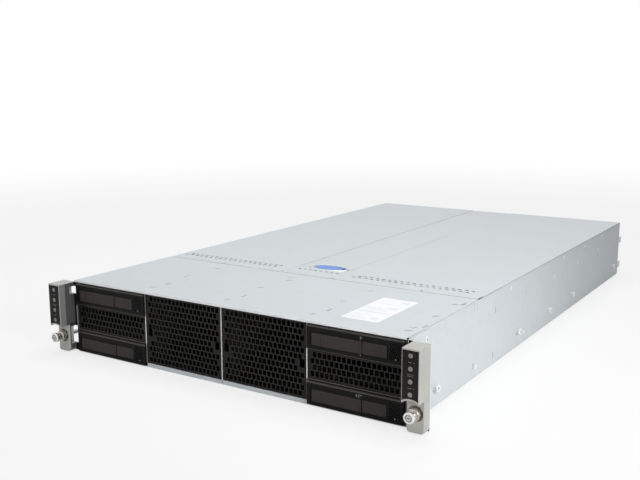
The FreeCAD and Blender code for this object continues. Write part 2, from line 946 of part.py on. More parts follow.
def module_tray(left, base):
    """Folded tray with a rear panel that carries port cut-outs, vents, handle and latch ears."""
    right = left + module_width
    top = base + module_height
    shell = block((left, right), (module_front, rear), (base, top))
    room = block(
        (left + tray_sheet, right - tray_sheet),
        (module_front, rear - tray_sheet),
        (base + tray_sheet, top))
    panel = (rear - tray_sheet, rear)
    holes = []
    for low, high in port_spans:
        holes.append(block(
            (left + low - running_gap, left + high + running_gap), panel,
            (base + port_base - running_gap, base + port_base + port_height + running_gap)))
    holes.append(block(
        (left + slot_cover_start, right - slot_cover_edge), panel,
        (base + slot_cover_base, base + slot_cover_base + slot_cover_height)))
    field = (left + port_spans[0][0], left + port_spans[-1][1])
    vent_top = base + module_height - exhaust_inset
    pitch = (field[1] - field[0] + exhaust_web) / exhaust_columns
    for column in range(exhaust_columns):
        x = field[0] + column * pitch
        holes.append(block((x, x + pitch - exhaust_web), panel, (vent_top - exhaust_height, vent_top)))
    tray = shell.cut(room).cut(holes)
    latch_x, latch_base = module_latch_place(left, base)
    return join([tray, module_handle(left, base)] + latch_ears(latch_x, rear, latch_base))


def module_handle(left, base):
    outer = left + module_width - module_handle_edge
    inner = outer - module_handle_span
    z = (base + module_handle_base, base + module_handle_base + module_handle_height)
    bow = block((inner, outer), (rear, rear + module_handle_reach), z)
    grip = block(
        (inner + module_handle_bar, outer - module_handle_bar),
        (rear, rear + module_handle_reach - module_handle_bar), z)
    return bow.cut(grip)


def heatsink(x, y, base, top):
    """Comb of fins on a thick base plate, with the processor's socket below."""
    pitch = (heatsink_side - heatsink_fin) / (heatsink_fins - 1)
    left = x - heatsink_side / 2
    fins = [
        block(
            (left + i * pitch, left + i * pitch + heatsink_fin),
            (y, y + heatsink_side),
            (base + socket_block_height + heatsink_base, top))
        for i in range(heatsink_fins)
    ]
    plate = block(
        (left, left + heatsink_side), (y, y + heatsink_side),
        (base + socket_block_height, base + socket_block_height + heatsink_base))
    inset = heatsink_side / 4
    socket = block(
        (left + inset, left + heatsink_side - inset),
        (y + inset, y + heatsink_side - inset),
        (base, base + socket_block_height))
    return join([plate, socket] + fins)


def module_fan(x, base):
    """Axial fan: square frame, faceted bore and hub held by one strut."""
    middle = base + fan_side / 2
    start = module_front + tray_sheet
    frame = block((x - fan_side / 2, x + fan_side / 2), (start, start + fan_length), (base, base + fan_side))
    run = Vector(0, fan_length, 0)
    bore = faceted_rod(Vector(x, start, middle), run, module_fan_radius, fan_faces)
    hub = faceted_rod(Vector(x, start, middle), run, module_fan_hub, fan_faces)
    strut = block(
        (x - fan_side / 2, x), (start + fan_length - 2 * tray_sheet, start + fan_length),
        (middle - tray_sheet, middle + tray_sheet))
    return join([frame.cut(bore), hub, strut])


def module_electronics(left, base):
    """Main board on standoffs with ports, two cooled processors, memory and a row of fans."""
    floor = base + tray_sheet
    bottom = floor + module_board_standoff
    top = bottom + board_sheet
    ceiling = base + module_height - module_headroom
    middle = left + module_width / 2
    margin = 2 * standoff_radius
    x = (left + margin, left + module_width - margin)
    y = (module_front + tray_sheet + fan_length + module_fan_gap, rear - tray_sheet - running_gap)
    solids = [block(x, y, (bottom, top))]
    for foot_x in (x[0] + margin, x[1] - margin):
        for foot_y in (y[0] + margin, y[1] - margin):
            foot = Vector(foot_x, foot_y, floor)
            solids.append(faceted_rod(foot, Vector(0, 0, module_board_standoff), standoff_radius, 6))
    for low, high in port_spans:
        solids.append(block(
            (left + low, left + high), (rear - port_depth, rear),
            (top, base + port_base + port_height)))
    free = y[1] - port_depth - y[0] - processor_count * memory_length
    pitch = memory_length + free / (processor_count + 1)
    for i in range(processor_count):
        start = y[1] - port_depth - (i + 1) * pitch
        sink_y = start + (memory_length - heatsink_side) / 2
        solids.append(heatsink(middle, sink_y, top, ceiling))
        solids += memory_rows(middle, start, top, ceiling)
    fan_pitch = module_width / module_fan_count
    for i in range(module_fan_count):
        solids.append(module_fan(left + (i + 0.5) * fan_pitch, floor))
    return solids


def memory_rows(middle, start, low, high):
    """Memory cards that stand on both sides of a processor."""
    edge = heatsink_side / 2 + memory_gap
    cards = []
    for sign in sides.values():
        for i in range(memory_per_side):
            x = middle + sign * (edge + i * memory_pitch)
            cards.append(block(
                (x, x + sign * memory_thickness), (start, start + memory_length), (low, high)))
    return cards


def module_latch(left, base):
    latch_x, latch_base = module_latch_place(left, base)
    return release_latch(latch_x, rear, latch_base, -1)


# Writing the sub-parts

def save_chassis():
    save("chassis_tray", [chassis_tray()])
    save("front_top_panel", [front_top_panel()])
    save("top_cover", top_cover())
    save("cover_latch", [cover_latch()])
    save("drive_cage", [drive_cage()])
    save("drive_backplane", [drive_backplane()])
    save("bay_dividers", bay_dividers())
    save("node_shelves", bay_shelves())
    save("power_distribution_boards", [power_distribution_board(z) for z in (sheet, shelf_top)])
    save("chassis_fasteners", chassis_fasteners())
    save("blank_grilles", [blank_grille(side) for side in sides])
    save("ear_brackets", [mirrored(ear_bracket(), side) for side in sides])
    for side in sides:
        save("centre_grille_" + side, [centre_grille(side)])


def save_ears():
    for side in sides:
        save(side + "_ear", [mirrored(ear(), side)])
        inlay = [button_panel(), switch_board()]
        save(side + "_button_panel", [mirrored(piece, side) for piece in inlay])
        save(side + "_rack_screw", [mirrored(captive_screw(), side)])
        for number, place in enumerate(button_places(), 1):
            save(f"{side}_button_{number}", [mirrored(button(place), side)])


def save_carriers():
    for row, base in carrier_base.items():
        for side, left in carrier_left.items():
            name = f"carrier_{row}_{side}"
            save(name + "_frame", [carrier_frame(left, base)])
            save(name + "_lever", [carrier_lever(left, base)])
            save(name + "_release", [carrier_release(left, base)])
            save(name + "_drive", [hard_drive(left, base)])


def save_rear_bays():
    for level, base in level_base.items():
        save("supply_" + level, [supply_housing(base)])
        save("supply_" + level + "_latch", [supply_latch(base)])
        for side, left in (("left", -module_outer), ("right", module_inner)):
            name = f"module_{level}_{side}"
            save(name + "_tray", [module_tray(left, base)])
            save(name + "_electronics", module_electronics(left, base))
            save(name + "_latch", [module_latch(left, base)])


os.makedirs("parts", exist_ok=True)
save_chassis()
save_ears()
save_carriers()
save_rear_bays()
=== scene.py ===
import math
import bmesh
import bpy
from mathutils import Matrix, Vector


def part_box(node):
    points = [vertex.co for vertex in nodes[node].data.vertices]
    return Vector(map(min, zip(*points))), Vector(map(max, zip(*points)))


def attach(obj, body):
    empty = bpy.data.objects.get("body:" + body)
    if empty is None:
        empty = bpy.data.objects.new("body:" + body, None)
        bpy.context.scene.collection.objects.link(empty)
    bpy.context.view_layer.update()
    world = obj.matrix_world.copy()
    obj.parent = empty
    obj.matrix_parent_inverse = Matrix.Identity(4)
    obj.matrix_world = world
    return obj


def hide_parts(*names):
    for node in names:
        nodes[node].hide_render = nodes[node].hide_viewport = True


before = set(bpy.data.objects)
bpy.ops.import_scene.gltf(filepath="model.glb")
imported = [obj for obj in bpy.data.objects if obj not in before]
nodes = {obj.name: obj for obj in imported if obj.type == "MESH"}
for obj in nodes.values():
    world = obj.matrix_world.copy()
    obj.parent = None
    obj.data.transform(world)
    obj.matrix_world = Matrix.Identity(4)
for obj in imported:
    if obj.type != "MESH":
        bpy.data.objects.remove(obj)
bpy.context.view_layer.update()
print("frame loaded:", len(nodes), "nodes")


# The modelling is in millimetres, and newPiece scales it to metres.

def cornersOf(node):
    low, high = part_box(node)
    return low * 1000, high * 1000


trayLow, trayHigh = cornersOf("chassis_tray")
frontEdge, rearEdge, sideWall = trayLow.y, trayHigh.y, trayHigh.x
sides = ("left", "right")
touching = 0.01     # what lies nearer to a plane than this lies on it


def edgesOf(verts):
    return list({e for v in verts for e in v.link_edges})


def onPlane(item, axis, place):
    return all(abs(v.co[axis] - place) < touching for v in item.verts)


def lengthAlong(edge, axis):
    return abs(edge.verts[0].co[axis] - edge.verts[1].co[axis])


def bends(edge, limit):
    return len(edge.link_faces) == 2 and edge.calc_face_angle() > limit


def soften(bm, geom, width, segments=2, affect="EDGES"):
    if width > 0:
        bmesh.ops.bevel(bm, geom=list(geom), offset=width, offset_type="OFFSET", segments=segments,
                        profile=0.5, affect=affect, clamp_overlap=True, material=-1)


def sharpEdges(bm):
    bm.normal_update()
    return [e for e in bm.edges if bends(e, math.radians(40))]


def addBox(bm, low, high, soft=0, segments=2):
    low, high = (Vector([end(pair) for pair in zip(low, high)]) for end in (min, max))
    place = Matrix.Translation((low + high) / 2) @ Matrix.Diagonal((*(high - low), 1))
    verts = bmesh.ops.create_cube(bm, size=1, matrix=place)["verts"]
    soften(bm, edgesOf(verts), soft, segments)


def boxes(rows, soft=0, segments=2):
    bm = bmesh.new()
    for low, high in rows:
        addBox(bm, low, high, soft, segments)
    return bm


def along(axis):
    # turns +Z towards the given direction
    return Vector((0, 0, 1)).rotation_difference(Vector(axis)).to_matrix().to_4x4()


def addRod(bm, start, axis, radius, length, sides=24, soft=0):
    axis = Vector(axis).normalized()
    place = Matrix.Translation(Vector(start) + axis * length / 2) @ along(axis)
    verts = bmesh.ops.create_cone(bm, cap_ends=True, segments=sides, radius1=radius, radius2=radius,
                                  depth=length, matrix=place)["verts"]
    soften(bm, [e for e in edgesOf(verts) if any(len(f.verts) > 4 for f in e.link_faces)], soft)


def mergeIn(bm, other):
    spare = bpy.data.meshes.new("spare")
    other.to_mesh(spare)
    other.free()
    bm.from_mesh(spare)
    bpy.data.meshes.remove(spare)


def addTurned(bm, profile, centre, axis, steps=32, ring=False):
    # profile is (radius, distance along the axis), from one pole to the other or round a ring
    turned = bmesh.new()
    verts = [turned.verts.new((r, 0, d)) for r, d in profile]
    edges = [turned.edges.new(pair) for pair in zip(verts, verts[1:] + verts[:1] if ring else verts[1:])]
    bmesh.ops.spin(turned, geom=verts + edges, cent=(0, 0, 0), axis=(0, 0, 1),
                   angle=2 * math.pi, steps=steps, use_merge=True)
    bmesh.ops.remove_doubles(turned, verts=turned.verts, dist=0.001)
    bmesh.ops.recalc_face_normals(turned, faces=turned.faces)
    turned.transform(Matrix.Translation(Vector(centre)) @ along(axis))
    mergeIn(bm, turned)


def addPrism(bm, outline, sweep, soft=0, segments=2):
    prism = bmesh.new()
    face = prism.faces.new([prism.verts.new(p) for p in outline])
    grown = bmesh.ops.extrude_face_region(prism, geom=[face])["geom"]
    bmesh.ops.translate(prism, vec=Vector(sweep), verts=[g for g in grown if isinstance(g, bmesh.types.BMVert)])
    bmesh.ops.recalc_face_normals(prism, faces=prism.faces)
    soften(prism, sharpEdges(prism), soft, segments)
    mergeIn(bm, prism)


def addSpokes(bm, low, high, soft, centre, count, first=0, twist=0):
    # boxes round the Y axis, each turned about its own length by twist
    for i in range(count):
        spoke = boxes([(low, high)], soft, 1)
        turn = Matrix.Rotation(math.radians(first + 360 / count * i), 4, "Y")
        spoke.transform(Matrix.Translation(centre) @ turn @ Matrix.Rotation(math.radians(twist), 4, "Z"))
        mergeIn(bm, spoke)


def arcPoints(centre, radius, first, last, steps, axes=(0, 2)):
    points = []
    for i in range(steps + 1):
        angle = math.radians(first + (last - first) * i / steps)
        point = Vector(centre)
        point[axes[0]] += radius * math.cos(angle)
        point[axes[1]] += radius * math.sin(angle)
        points.append(point)
    return points


def thirdAxis(axes):
    return ({0, 1, 2} - set(axes)).pop()


def flatSheet(axes, level, low, high):
    bm = bmesh.new()
    corners = []
    for u, v in ((low[0], low[1]), (high[0], low[1]), (high[0], high[1]), (low[0], high[1])):
        corner = Vector((level, level, level))
        corner[axes[0]], corner[axes[1]] = u, v
        corners.append(bm.verts.new(corner))
    bm.faces.new(corners)
    return bm


def spanOf(face, axis):
    places = [v.co[axis] for v in face.verts]
    return min(places), max(places)


def facesOver(bm, axes, level, low, high):
    # faces that lie at one level and reach into a rectangle
    flat = thirdAxis(axes)
    found = [f for f in bm.faces if onPlane(f, flat, level)]
    for axis, start, end in zip(axes, low, high):
        spans = [spanOf(f, axis) for f in found]
        found = [f for f, span in zip(found, spans) if span[1] > start + 0.001 and span[0] < end - 0.001]
    return found


def cutAcross(bm, faces, axis, place):
    normal = Vector((0, 0, 0))
    normal[axis] = 1
    geom = list(faces) + list({e for f in faces for e in f.edges}) + list({v for f in faces for v in f.verts})
    bmesh.ops.bisect_plane(bm, geom=geom, dist=0.0005, plane_co=normal * place, plane_no=normal)


def cutPatch(bm, axes, level, low, high):
    for end in (low, high):
        cutAcross(bm, facesOver(bm, axes, level, low, high), axes[0], end[0])
    for end in (low, high):
        cutAcross(bm, facesOver(bm, axes, level, low, high), axes[1], end[1])
    return facesOver(bm, axes, level, low, high)


def rimOf(faces):
    inside = set(faces)
    return [e for f in faces for e in f.edges if sum(g in inside for g in e.link_faces) == 1]


def openPatch(bm, axes, level, low, high):
    # cuts a rectangular hole and gives back its rim
    faces = cutPatch(bm, axes, level, low, high)
    rim = rimOf(faces)
    bmesh.ops.delete(bm, geom=faces, context="FACES")
    return [e for e in rim if e.is_valid]


def pushRim(bm, edges, move):
    made = bmesh.ops.extrude_edge_only(bm, edges=edges)["geom"]
    verts = [g for g in made if isinstance(g, bmesh.types.BMVert)]
    bmesh.ops.translate(bm, vec=Vector(move), verts=verts)
    return [g for g in made if isinstance(g, bmesh.types.BMEdge) and all(v in set(verts) for v in g.verts)]


def sinkHole(bm, rim, move):
    # gives a hole walls and a floor
    bmesh.ops.edgeloop_fill(bm, edges=pushRim(bm, rim, move))


def pocket(bm, axes, level, low, high, move, taper=0.2):
    # presses a rectangle in, with slanted walls
    faces = cutPatch(bm, axes, level, low, high)
    if len(faces) > 1:
        faces = bmesh.ops.dissolve_faces(bm, faces=faces)["region"]
    bmesh.ops.inset_region(bm, faces=faces, thickness=taper, use_even_offset=True)
    bmesh.ops.translate(bm, vec=Vector(move), verts=list({v for f in faces for v in f.verts}))


def perforate(bm, axes, level, low, high, columns, rows, web, corner=0, sink=0, closed=None, staggered=True):
    # cuts a rectangle into bricks and opens a hole in each, or sinks it
    u, v = axes
    pitchU = (high[0] - low[0]) / (columns + (0.5 if staggered else 0))
    pitchV = (high[1] - low[1]) / rows
    step, steps = (pitchU / 2, 2 * columns + 1) if staggered else (pitchU, columns)
    cutPatch(bm, axes, level, low, high)
    for row in range(1, rows):
        cutAcross(bm, facesOver(bm, axes, level, low, high), v, low[1] + row * pitchV)
    for i in range(1, steps):
        cutAcross(bm, facesOver(bm, axes, level, low, high), u, low[0] + i * step)
    if staggered:
        spare = []
        for edge in {e for f in facesOver(bm, axes, level, low, high) for e in f.edges}:
            a, b = (x.co for x in edge.verts)
            place = (a[u] - low[0]) / step
            if abs(a[u] - b[u]) > 0.001 or place < 0.5 or place > 2 * columns + 0.5:
                continue
            row = int(((a[v] + b[v]) / 2 - low[1]) / pitchV)
            if (round(place) + row) % 2:
                spare.append(edge)
        bmesh.ops.dissolve_edges(bm, edges=spare, use_verts=True)
    holes = []
    for face in facesOver(bm, axes, level, low, high):
        wide = spanOf(face, u)
        middle = face.calc_center_bounds()
        if wide[1] - wide[0] > pitchU * 0.9 and not (closed and closed(middle[u], middle[v])):
            holes.append(face)
    bmesh.ops.inset_individual(bm, faces=holes, thickness=web / 2, use_even_offset=True)
    if sink:
        bmesh.ops.inset_individual(bm, faces=holes, thickness=0.03, depth=-sink, use_even_offset=True)
        return
    corners = [x.vert for f in holes for x in f.loops if x.calc_angle() < 1.8]
    bmesh.ops.delete(bm, geom=holes, context="FACES")
    soften(bm, corners, corner, affect="VERTICES")


def openOval(bm, axes, level, centre, radii, margin, segments=32):
    # opens an oval hole in a flat face and gives back its rim
    low = [centre[i] - radii[i] - margin for i in (0, 1)]
    high = [centre[i] + radii[i] + margin for i in (0, 1)]
    faces = cutPatch(bm, axes, level, low, high)
    if len(faces) > 1:
        faces = bmesh.ops.dissolve_faces(bm, faces=faces, use_verts=True)["region"]
    outer = rimOf(faces)
    bmesh.ops.delete(bm, geom=faces, context="FACES_ONLY")
    made = bmesh.ops.subdivide_edges(bm, edges=outer, cuts=max(1, segments // 4 - 1))
    outer = [e for e in set(outer) | {g for g in made["geom"] if isinstance(g, bmesh.types.BMEdge)} if e.is_valid]
    outer = [e for e in outer if len(e.link_faces) < 2 and all(
        low[i] - touching <= x.co[axes[i]] <= high[i] + touching for x in e.verts for i in (0, 1))]
    flat = thirdAxis(axes)
    place = Matrix.Diagonal((0, 0, 0, 1))
    place[axes[0]][0], place[axes[1]][1], place[flat][2] = radii[0], radii[1], 1
    place[axes[0]][3], place[axes[1]][3], place[flat][3] = centre[0], centre[1], level
    ring = bmesh.ops.create_circle(bm, segments=segments, radius=1, matrix=place)["verts"]
    inner = edgesOf(ring)
    bmesh.ops.bridge_loops(bm, edges=outer + inner)
    return inner


def faceTowards(bm, direction):
    bmesh.ops.recalc_face_normals(bm, faces=bm.faces)
    if sum(f.normal.dot(Vector(direction)) * f.calc_area() for f in bm.faces) < 0:
        bmesh.ops.reverse_faces(bm, faces=bm.faces)


def thicken(bm, thickness):
    # the wall grows away from the side that the faces look to
    bm.normal_update()
    bmesh.ops.solidify(bm, geom=list(bm.faces), thickness=thickness)


def notchOut(bm, x, y, z):
    # cuts a box-shaped notch out of the corner between the face at x[0] and the face at y[1]
    openPatch(bm, (1, 2), x[0], (y[0], z[0]), (y[1], z[1]))
    openPatch(bm, (0, 2), y[1], (x[0], z[0]), (x[1], z[1]))
    walls = boxes([((x[0], y[0], z[0]), (x[1], y[1], z[1]))])
    bmesh.ops.reverse_faces(walls, faces=walls.faces)
    outer = [f for f in walls.faces if onPlane(f, 0, x[0]) or onPlane(f, 1, y[1])]
    bmesh.ops.delete(walls, geom=outer, context="FACES")
    mergeIn(bm, walls)


def newPiece(name, bm, body, finish, stands=None, side="right"):
    # pieces are modelled on the right, and those of the left side are mirrored
    if side == "left":
        bmesh.ops.scale(bm, vec=(-1, 1, 1), verts=bm.verts)
        bmesh.ops.reverse_faces(bm, faces=bm.faces)
    bmesh.ops.scale(bm, vec=(0.001, 0.001, 0.001), verts=bm.verts)
    mesh = bpy.data.meshes.new(name)
    bm.to_mesh(mesh)
    bm.free()
    piece = bpy.data.objects.new(name, mesh)
    bpy.context.scene.collection.objects.link(piece)
    mesh.materials.append(paint[finish])
    mesh.shade_smooth()
    mesh.set_sharp_from_angle(angle=math.radians(35))
    piece.modifiers.new("evenNormals", "WEIGHTED_NORMAL").keep_sharp = True
    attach(piece, body)
    if stands:
        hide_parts(stands)
    return piece


def paintFaces(piece, finish, chosen):
    # a second finish on the faces whose middle, in millimetres, and normal pass a test
    piece.data.materials.append(paint[finish])
    for face in piece.data.polygons:
        if chosen(face.center * 1000, face.normal):
            face.material_index = len(piece.data.materials) - 1


# Node trees

def addNode(tree, kind, settings=None, values=None):
    node = tree.nodes.new(kind)
    for key, value in (settings or {}).items():
        setattr(node, key, value)
    for key, value in (values or {}).items():
        if isinstance(value, bpy.types.NodeSocket):
            tree.links.new(value, node.inputs[key])
        else:
            node.inputs[key].default_value = value
    return node


def mathNode(tree, operation, a, b, clamp=False):
    return addNode(tree, "ShaderNodeMath", {"operation": operation, "use_clamp": clamp}, {0: a, 1: b}).outputs[0]


def weighted(tree, *parts):
    # the sum of values, each times its weight
    shares = [mathNode(tree, "MULTIPLY", value, weight) for value, weight in parts]
    total = shares[0]
    for share in shares[1:]:
        total = mathNode(tree, "ADD", total, share)
    return total


def noise(tree, place, scale, detail):
    return addNode(tree, "ShaderNodeTexNoise", None, {"Vector": place, "Scale": scale, "Detail": detail}).outputs


def mixColours(tree, factor, a, b):
    # 6, 7 and 2 are the mix node's colour sockets
    return addNode(tree, "ShaderNodeMix", {"data_type": "RGBA"}, {0: factor, 6: a, 7: b}).outputs[2]


def mapRange(tree, value, low, high, fromLow, fromHigh):
    return addNode(tree, "ShaderNodeMapRange", {"clamp": True}, {
        "Value": value, "From Min": fromLow, "From Max": fromHigh, "To Min": low, "To Max": high}).outputs[0]


# Camera and studio

studio = {
    "cameraPlace": (0.56023, -1.06957, 0.31693),
    "azimuth": 32.548,
    "elevation": 10.391,
    "roll": -0.099,
    "lens": 48.67,
    "worldLight": 0.15,
    "floorColour": 0.82,
    "floorHalf": 9,
    "floorDrop": 0.0003,
    "floorGlow": (0.72, 1.0, 0.7, 2.4),     # share near and far, and where it starts and ends
    "lamps": {      # place, aim, size, power, spread
        "keyLamp": ((1.4, -0.75, 0.6), (0.2, -0.27, 0.04), 0.45, 0.95, 44),
        "fillLamp": ((-1.2, -2.2, 0.9), (0, -0.2, 0.04), 1.6, 9, 180),
        "topLamp": ((0.1, 0.1, 2.4), (0, 0, 0.04), 2.0, 43, 180),
    },
}


def makeCamera():
    data = bpy.data.cameras.new("camera")
    data.lens = studio["lens"]
    data.sensor_width = 36
    data.clip_start, data.clip_end = 0.01, 60
    camera = bpy.data.objects.new("camera", data)
    bpy.context.scene.collection.objects.link(camera)
    azimuth, elevation = math.radians(studio["azimuth"]), math.radians(studio["elevation"])
    back = Vector((math.sin(azimuth) * math.cos(elevation), -math.cos(azimuth) * math.cos(elevation),
                   math.sin(elevation)))
    turn = back.to_track_quat("Z", "Y").to_matrix().to_4x4()
    camera.matrix_world = (Matrix.Translation(studio["cameraPlace"]) @ turn
                           @ Matrix.Rotation(math.radians(studio["roll"]), 4, "Z"))
    bpy.context.scene.camera = camera


def makeWorld():
    # white where it is looked at or mirrored, and a dim light on the rest
    world = bpy.data.worlds.new("studioWorld")
    bpy.context.scene.world = world
    world.use_nodes = True
    tree = world.node_tree
    tree.nodes.clear()
    rays = addNode(tree, "ShaderNodeLightPath").outputs
    seen = mathNode(tree, "MAXIMUM", rays["Is Camera Ray"], rays["Is Glossy Ray"])
    seen = mathNode(tree, "MAXIMUM", seen, rays["Is Transmission Ray"])
    soft, white = (addNode(tree, "ShaderNodeBackground", None, {"Color": (1, 1, 1, 1), "Strength": strength})
                   for strength in (studio["worldLight"], 1))
    mix = addNode(tree, "ShaderNodeMixShader", None, {"Fac": seen, 1: soft.outputs[0], 2: white.outputs[0]})
    addNode(tree, "ShaderNodeOutputWorld", None, {"Surface": mix.outputs[0]})


def makeLamps():
    for name, (place, aim, size, power, spread) in studio["lamps"].items():
        data = bpy.data.lights.new(name, "AREA")
        data.shape = "SQUARE"
        data.size = size
        data.energy = power
        data.spread = math.radians(spread)
        lamp = bpy.data.objects.new(name, data)
        bpy.context.scene.collection.objects.link(lamp)
        lamp.location = place
        lamp.rotation_mode = "QUATERNION"
        lamp.rotation_quaternion = (Vector(place) - Vector(aim)).to_track_quat("Z", "Y")


def makeFloor():
    half, drop, shade = studio["floorHalf"], studio["floorDrop"], studio["floorColour"]
    bm = flatSheet((0, 1), -drop, (-half, -half), (half, half))
    mesh = bpy.data.meshes.new("studioFloor")
    bm.to_mesh(mesh)
    bm.free()
    floor = bpy.data.objects.new("studioFloor", mesh)
    bpy.context.scene.collection.objects.link(floor)
    material = bpy.data.materials.new("floorPaper")
    material.use_nodes = True
    tree = material.node_tree
    paper = tree.nodes["Principled BSDF"]
    paper.inputs["Base Color"].default_value = (shade, shade, shade, 1)
    paper.inputs["Roughness"].default_value = 0.85
    glow = addNode(tree, "ShaderNodeEmission")
    rays = addNode(tree, "ShaderNodeLightPath").outputs
    place = addNode(tree, "ShaderNodeTexCoord").outputs["Object"]
    reach = addNode(tree, "ShaderNodeVectorMath", {"operation": "LENGTH"}, {0: place}).outputs["Value"]
    near, far, first, last = studio["floorGlow"]
    spread = addNode(tree, "ShaderNodeMapRange", {"interpolation_type": "SMOOTHSTEP"}, {
        "Value": reach, "From Min": first, "From Max": last, "To Min": near, "To Max": far})
    share = mathNode(tree, "MULTIPLY", rays["Is Camera Ray"], spread.outputs["Result"])
    mix = addNode(tree, "ShaderNodeMixShader", None, {"Fac": share, 1: paper.outputs[0], 2: glow.outputs[0]})
    tree.links.new(mix.outputs[0], tree.nodes["Material Output"].inputs["Surface"])
    mesh.materials.append(material)


bpy.context.scene.view_settings.view_transform = "Standard"
makeCamera()
makeWorld()
makeLamps()
makeFloor()
print("studio ready")


# Finishes

colour, number, vector = "NodeSocketColor", "NodeSocketFloat", "NodeSocketVector"


def makeGroup(name, inputs, outputs):
    tree = bpy.data.node_groups.new(name, "ShaderNodeTree")
    for label, kind, value in inputs:
        socket = tree.interface.new_socket(name=label, in_out="INPUT", socket_type=kind)
        if value is not None:
            socket.default_value = value
    for label, kind in outputs:
        tree.interface.new_socket(name=label, in_out="OUTPUT", socket_type=kind)
    return tree, addNode(tree, "NodeGroupInput").outputs, addNode(tree, "NodeGroupOutput").inputs


def rolledSheetGroup():
    # zinc flowers, rolling streaks and faint clouds on sheet steel
    tree, given, result = makeGroup("rolledSheet", [
        ("Vector", vector, None), ("Light Color", colour, (0.7, 0.7, 0.7, 1)),
        ("Dark Color", colour, (0.6, 0.6, 0.6, 1)), ("Spangle Scale", number, 90.0),
        ("Streak Scale", number, 260.0), ("Rough Low", number, 0.35), ("Rough High", number, 0.5),
    ], [("Color", colour), ("Roughness", number), ("Height", number)])
    place = given["Vector"]
    wobble = noise(tree, place, 60.0, 2.0)["Color"]
    shift = addNode(tree, "ShaderNodeVectorMath", {"operation": "SCALE"}, {0: wobble, "Scale": 0.006}).outputs[0]
    bent = addNode(tree, "ShaderNodeVectorMath", {"operation": "ADD"}, {0: place, 1: shift}).outputs[0]
    flowers = addNode(tree, "ShaderNodeTexVoronoi", None, {"Vector": bent, "Scale": given["Spangle Scale"]})
    flower = addNode(tree, "ShaderNodeSeparateColor", None, {"Color": flowers.outputs["Color"]}).outputs[0]
    stretched = addNode(tree, "ShaderNodeMapping", None, {"Vector": place, "Scale": (1.0, 0.025, 1.0)}).outputs[0]
    streaks = noise(tree, stretched, given["Streak Scale"], 3.0)[0]
    clouds = noise(tree, place, 7.0, 3.0)[0]
    speckle = noise(tree, place, 1400.0, 1.0)[0]
    blend = weighted(tree, (flower, 0.22), (streaks, 0.34), (clouds, 0.4))
    tree.links.new(mixColours(tree, blend, given["Dark Color"], given["Light Color"]), result["Color"])
    rough = weighted(tree, (blend, 0.7), (speckle, 0.3))
    tree.links.new(mapRange(tree, rough, given["Rough Low"], given["Rough High"], 0.2, 0.8), result["Roughness"])
    tree.links.new(weighted(tree, (streaks, 0.5), (speckle, 0.5)), result["Height"])
    return tree


def mouldGrainGroup():
    # fine leather-like grain of moulded plastic, or the peel of powder paint
    tree, given, result = makeGroup("mouldGrain", [
        ("Vector", vector, None), ("Base Color", colour, (0.1, 0.1, 0.1, 1)),
        ("Hazy Color", colour, (0.12, 0.12, 0.12, 1)), ("Grain Scale", number, 900.0),
        ("Rough Low", number, 0.4), ("Rough High", number, 0.6),
    ], [("Color", colour), ("Roughness", number), ("Height", number)])
    place, scale = given["Vector"], given["Grain Scale"]
    cells = addNode(tree, "ShaderNodeTexVoronoi", {"feature": "SMOOTH_F1"}, {"Vector": place, "Scale": scale})
    haze = noise(tree, place, 26.0, 4.0)[0]
    fine = noise(tree, place, mathNode(tree, "MULTIPLY", scale, 2.2), 2.0)[0]
    hazy = mapRange(tree, haze, 0.0, 1.0, 0.35, 0.72)
    tree.links.new(mixColours(tree, hazy, given["Base Color"], given["Hazy Color"]), result["Color"])
    rough = weighted(tree, (hazy, 0.55), (fine, 0.45))
    tree.links.new(mapRange(tree, rough, given["Rough Low"], given["Rough High"], 0.1, 0.8), result["Roughness"])
    tree.links.new(weighted(tree, (cells.outputs["Distance"], 0.7), (fine, 0.3)), result["Height"])
    return tree


def edgeHighlightWearGroup():
    # 1 on the edges, where a painted highlight, broken up like wear, lightens the colour, 0 elsewhere
    tree, given, result = makeGroup("edgeHighlightWear", [
        ("Vector", vector, None), ("Radius", number, 0.0006), ("Break Scale", number, 300.0),
        ("Amount", number, 0.7),
    ], [("Edge", number)])
    rounded = addNode(tree, "ShaderNodeBevel", {"samples": 4}, {"Radius": given["Radius"]}).outputs[0]
    surface = addNode(tree, "ShaderNodeNewGeometry").outputs["Normal"]
    same = addNode(tree, "ShaderNodeVectorMath", {"operation": "DOT_PRODUCT"}, {0: rounded, 1: surface})
    turned = mapRange(tree, same.outputs["Value"], 1.0, 0.0, 0.75, 0.99)
    chips = noise(tree, given["Vector"], given["Break Scale"], 3.0)[0]
    highlitEdges = mathNode(tree, "MULTIPLY", turned, mapRange(tree, chips, 0.0, 1.0, 0.38, 0.62))
    tree.links.new(mathNode(tree, "MULTIPLY", highlitEdges, given["Amount"], True), result["Edge"])
    return tree


groups = {"sheet": rolledSheetGroup(), "grain": mouldGrainGroup(), "edgeHighlight": edgeHighlightWearGroup()}
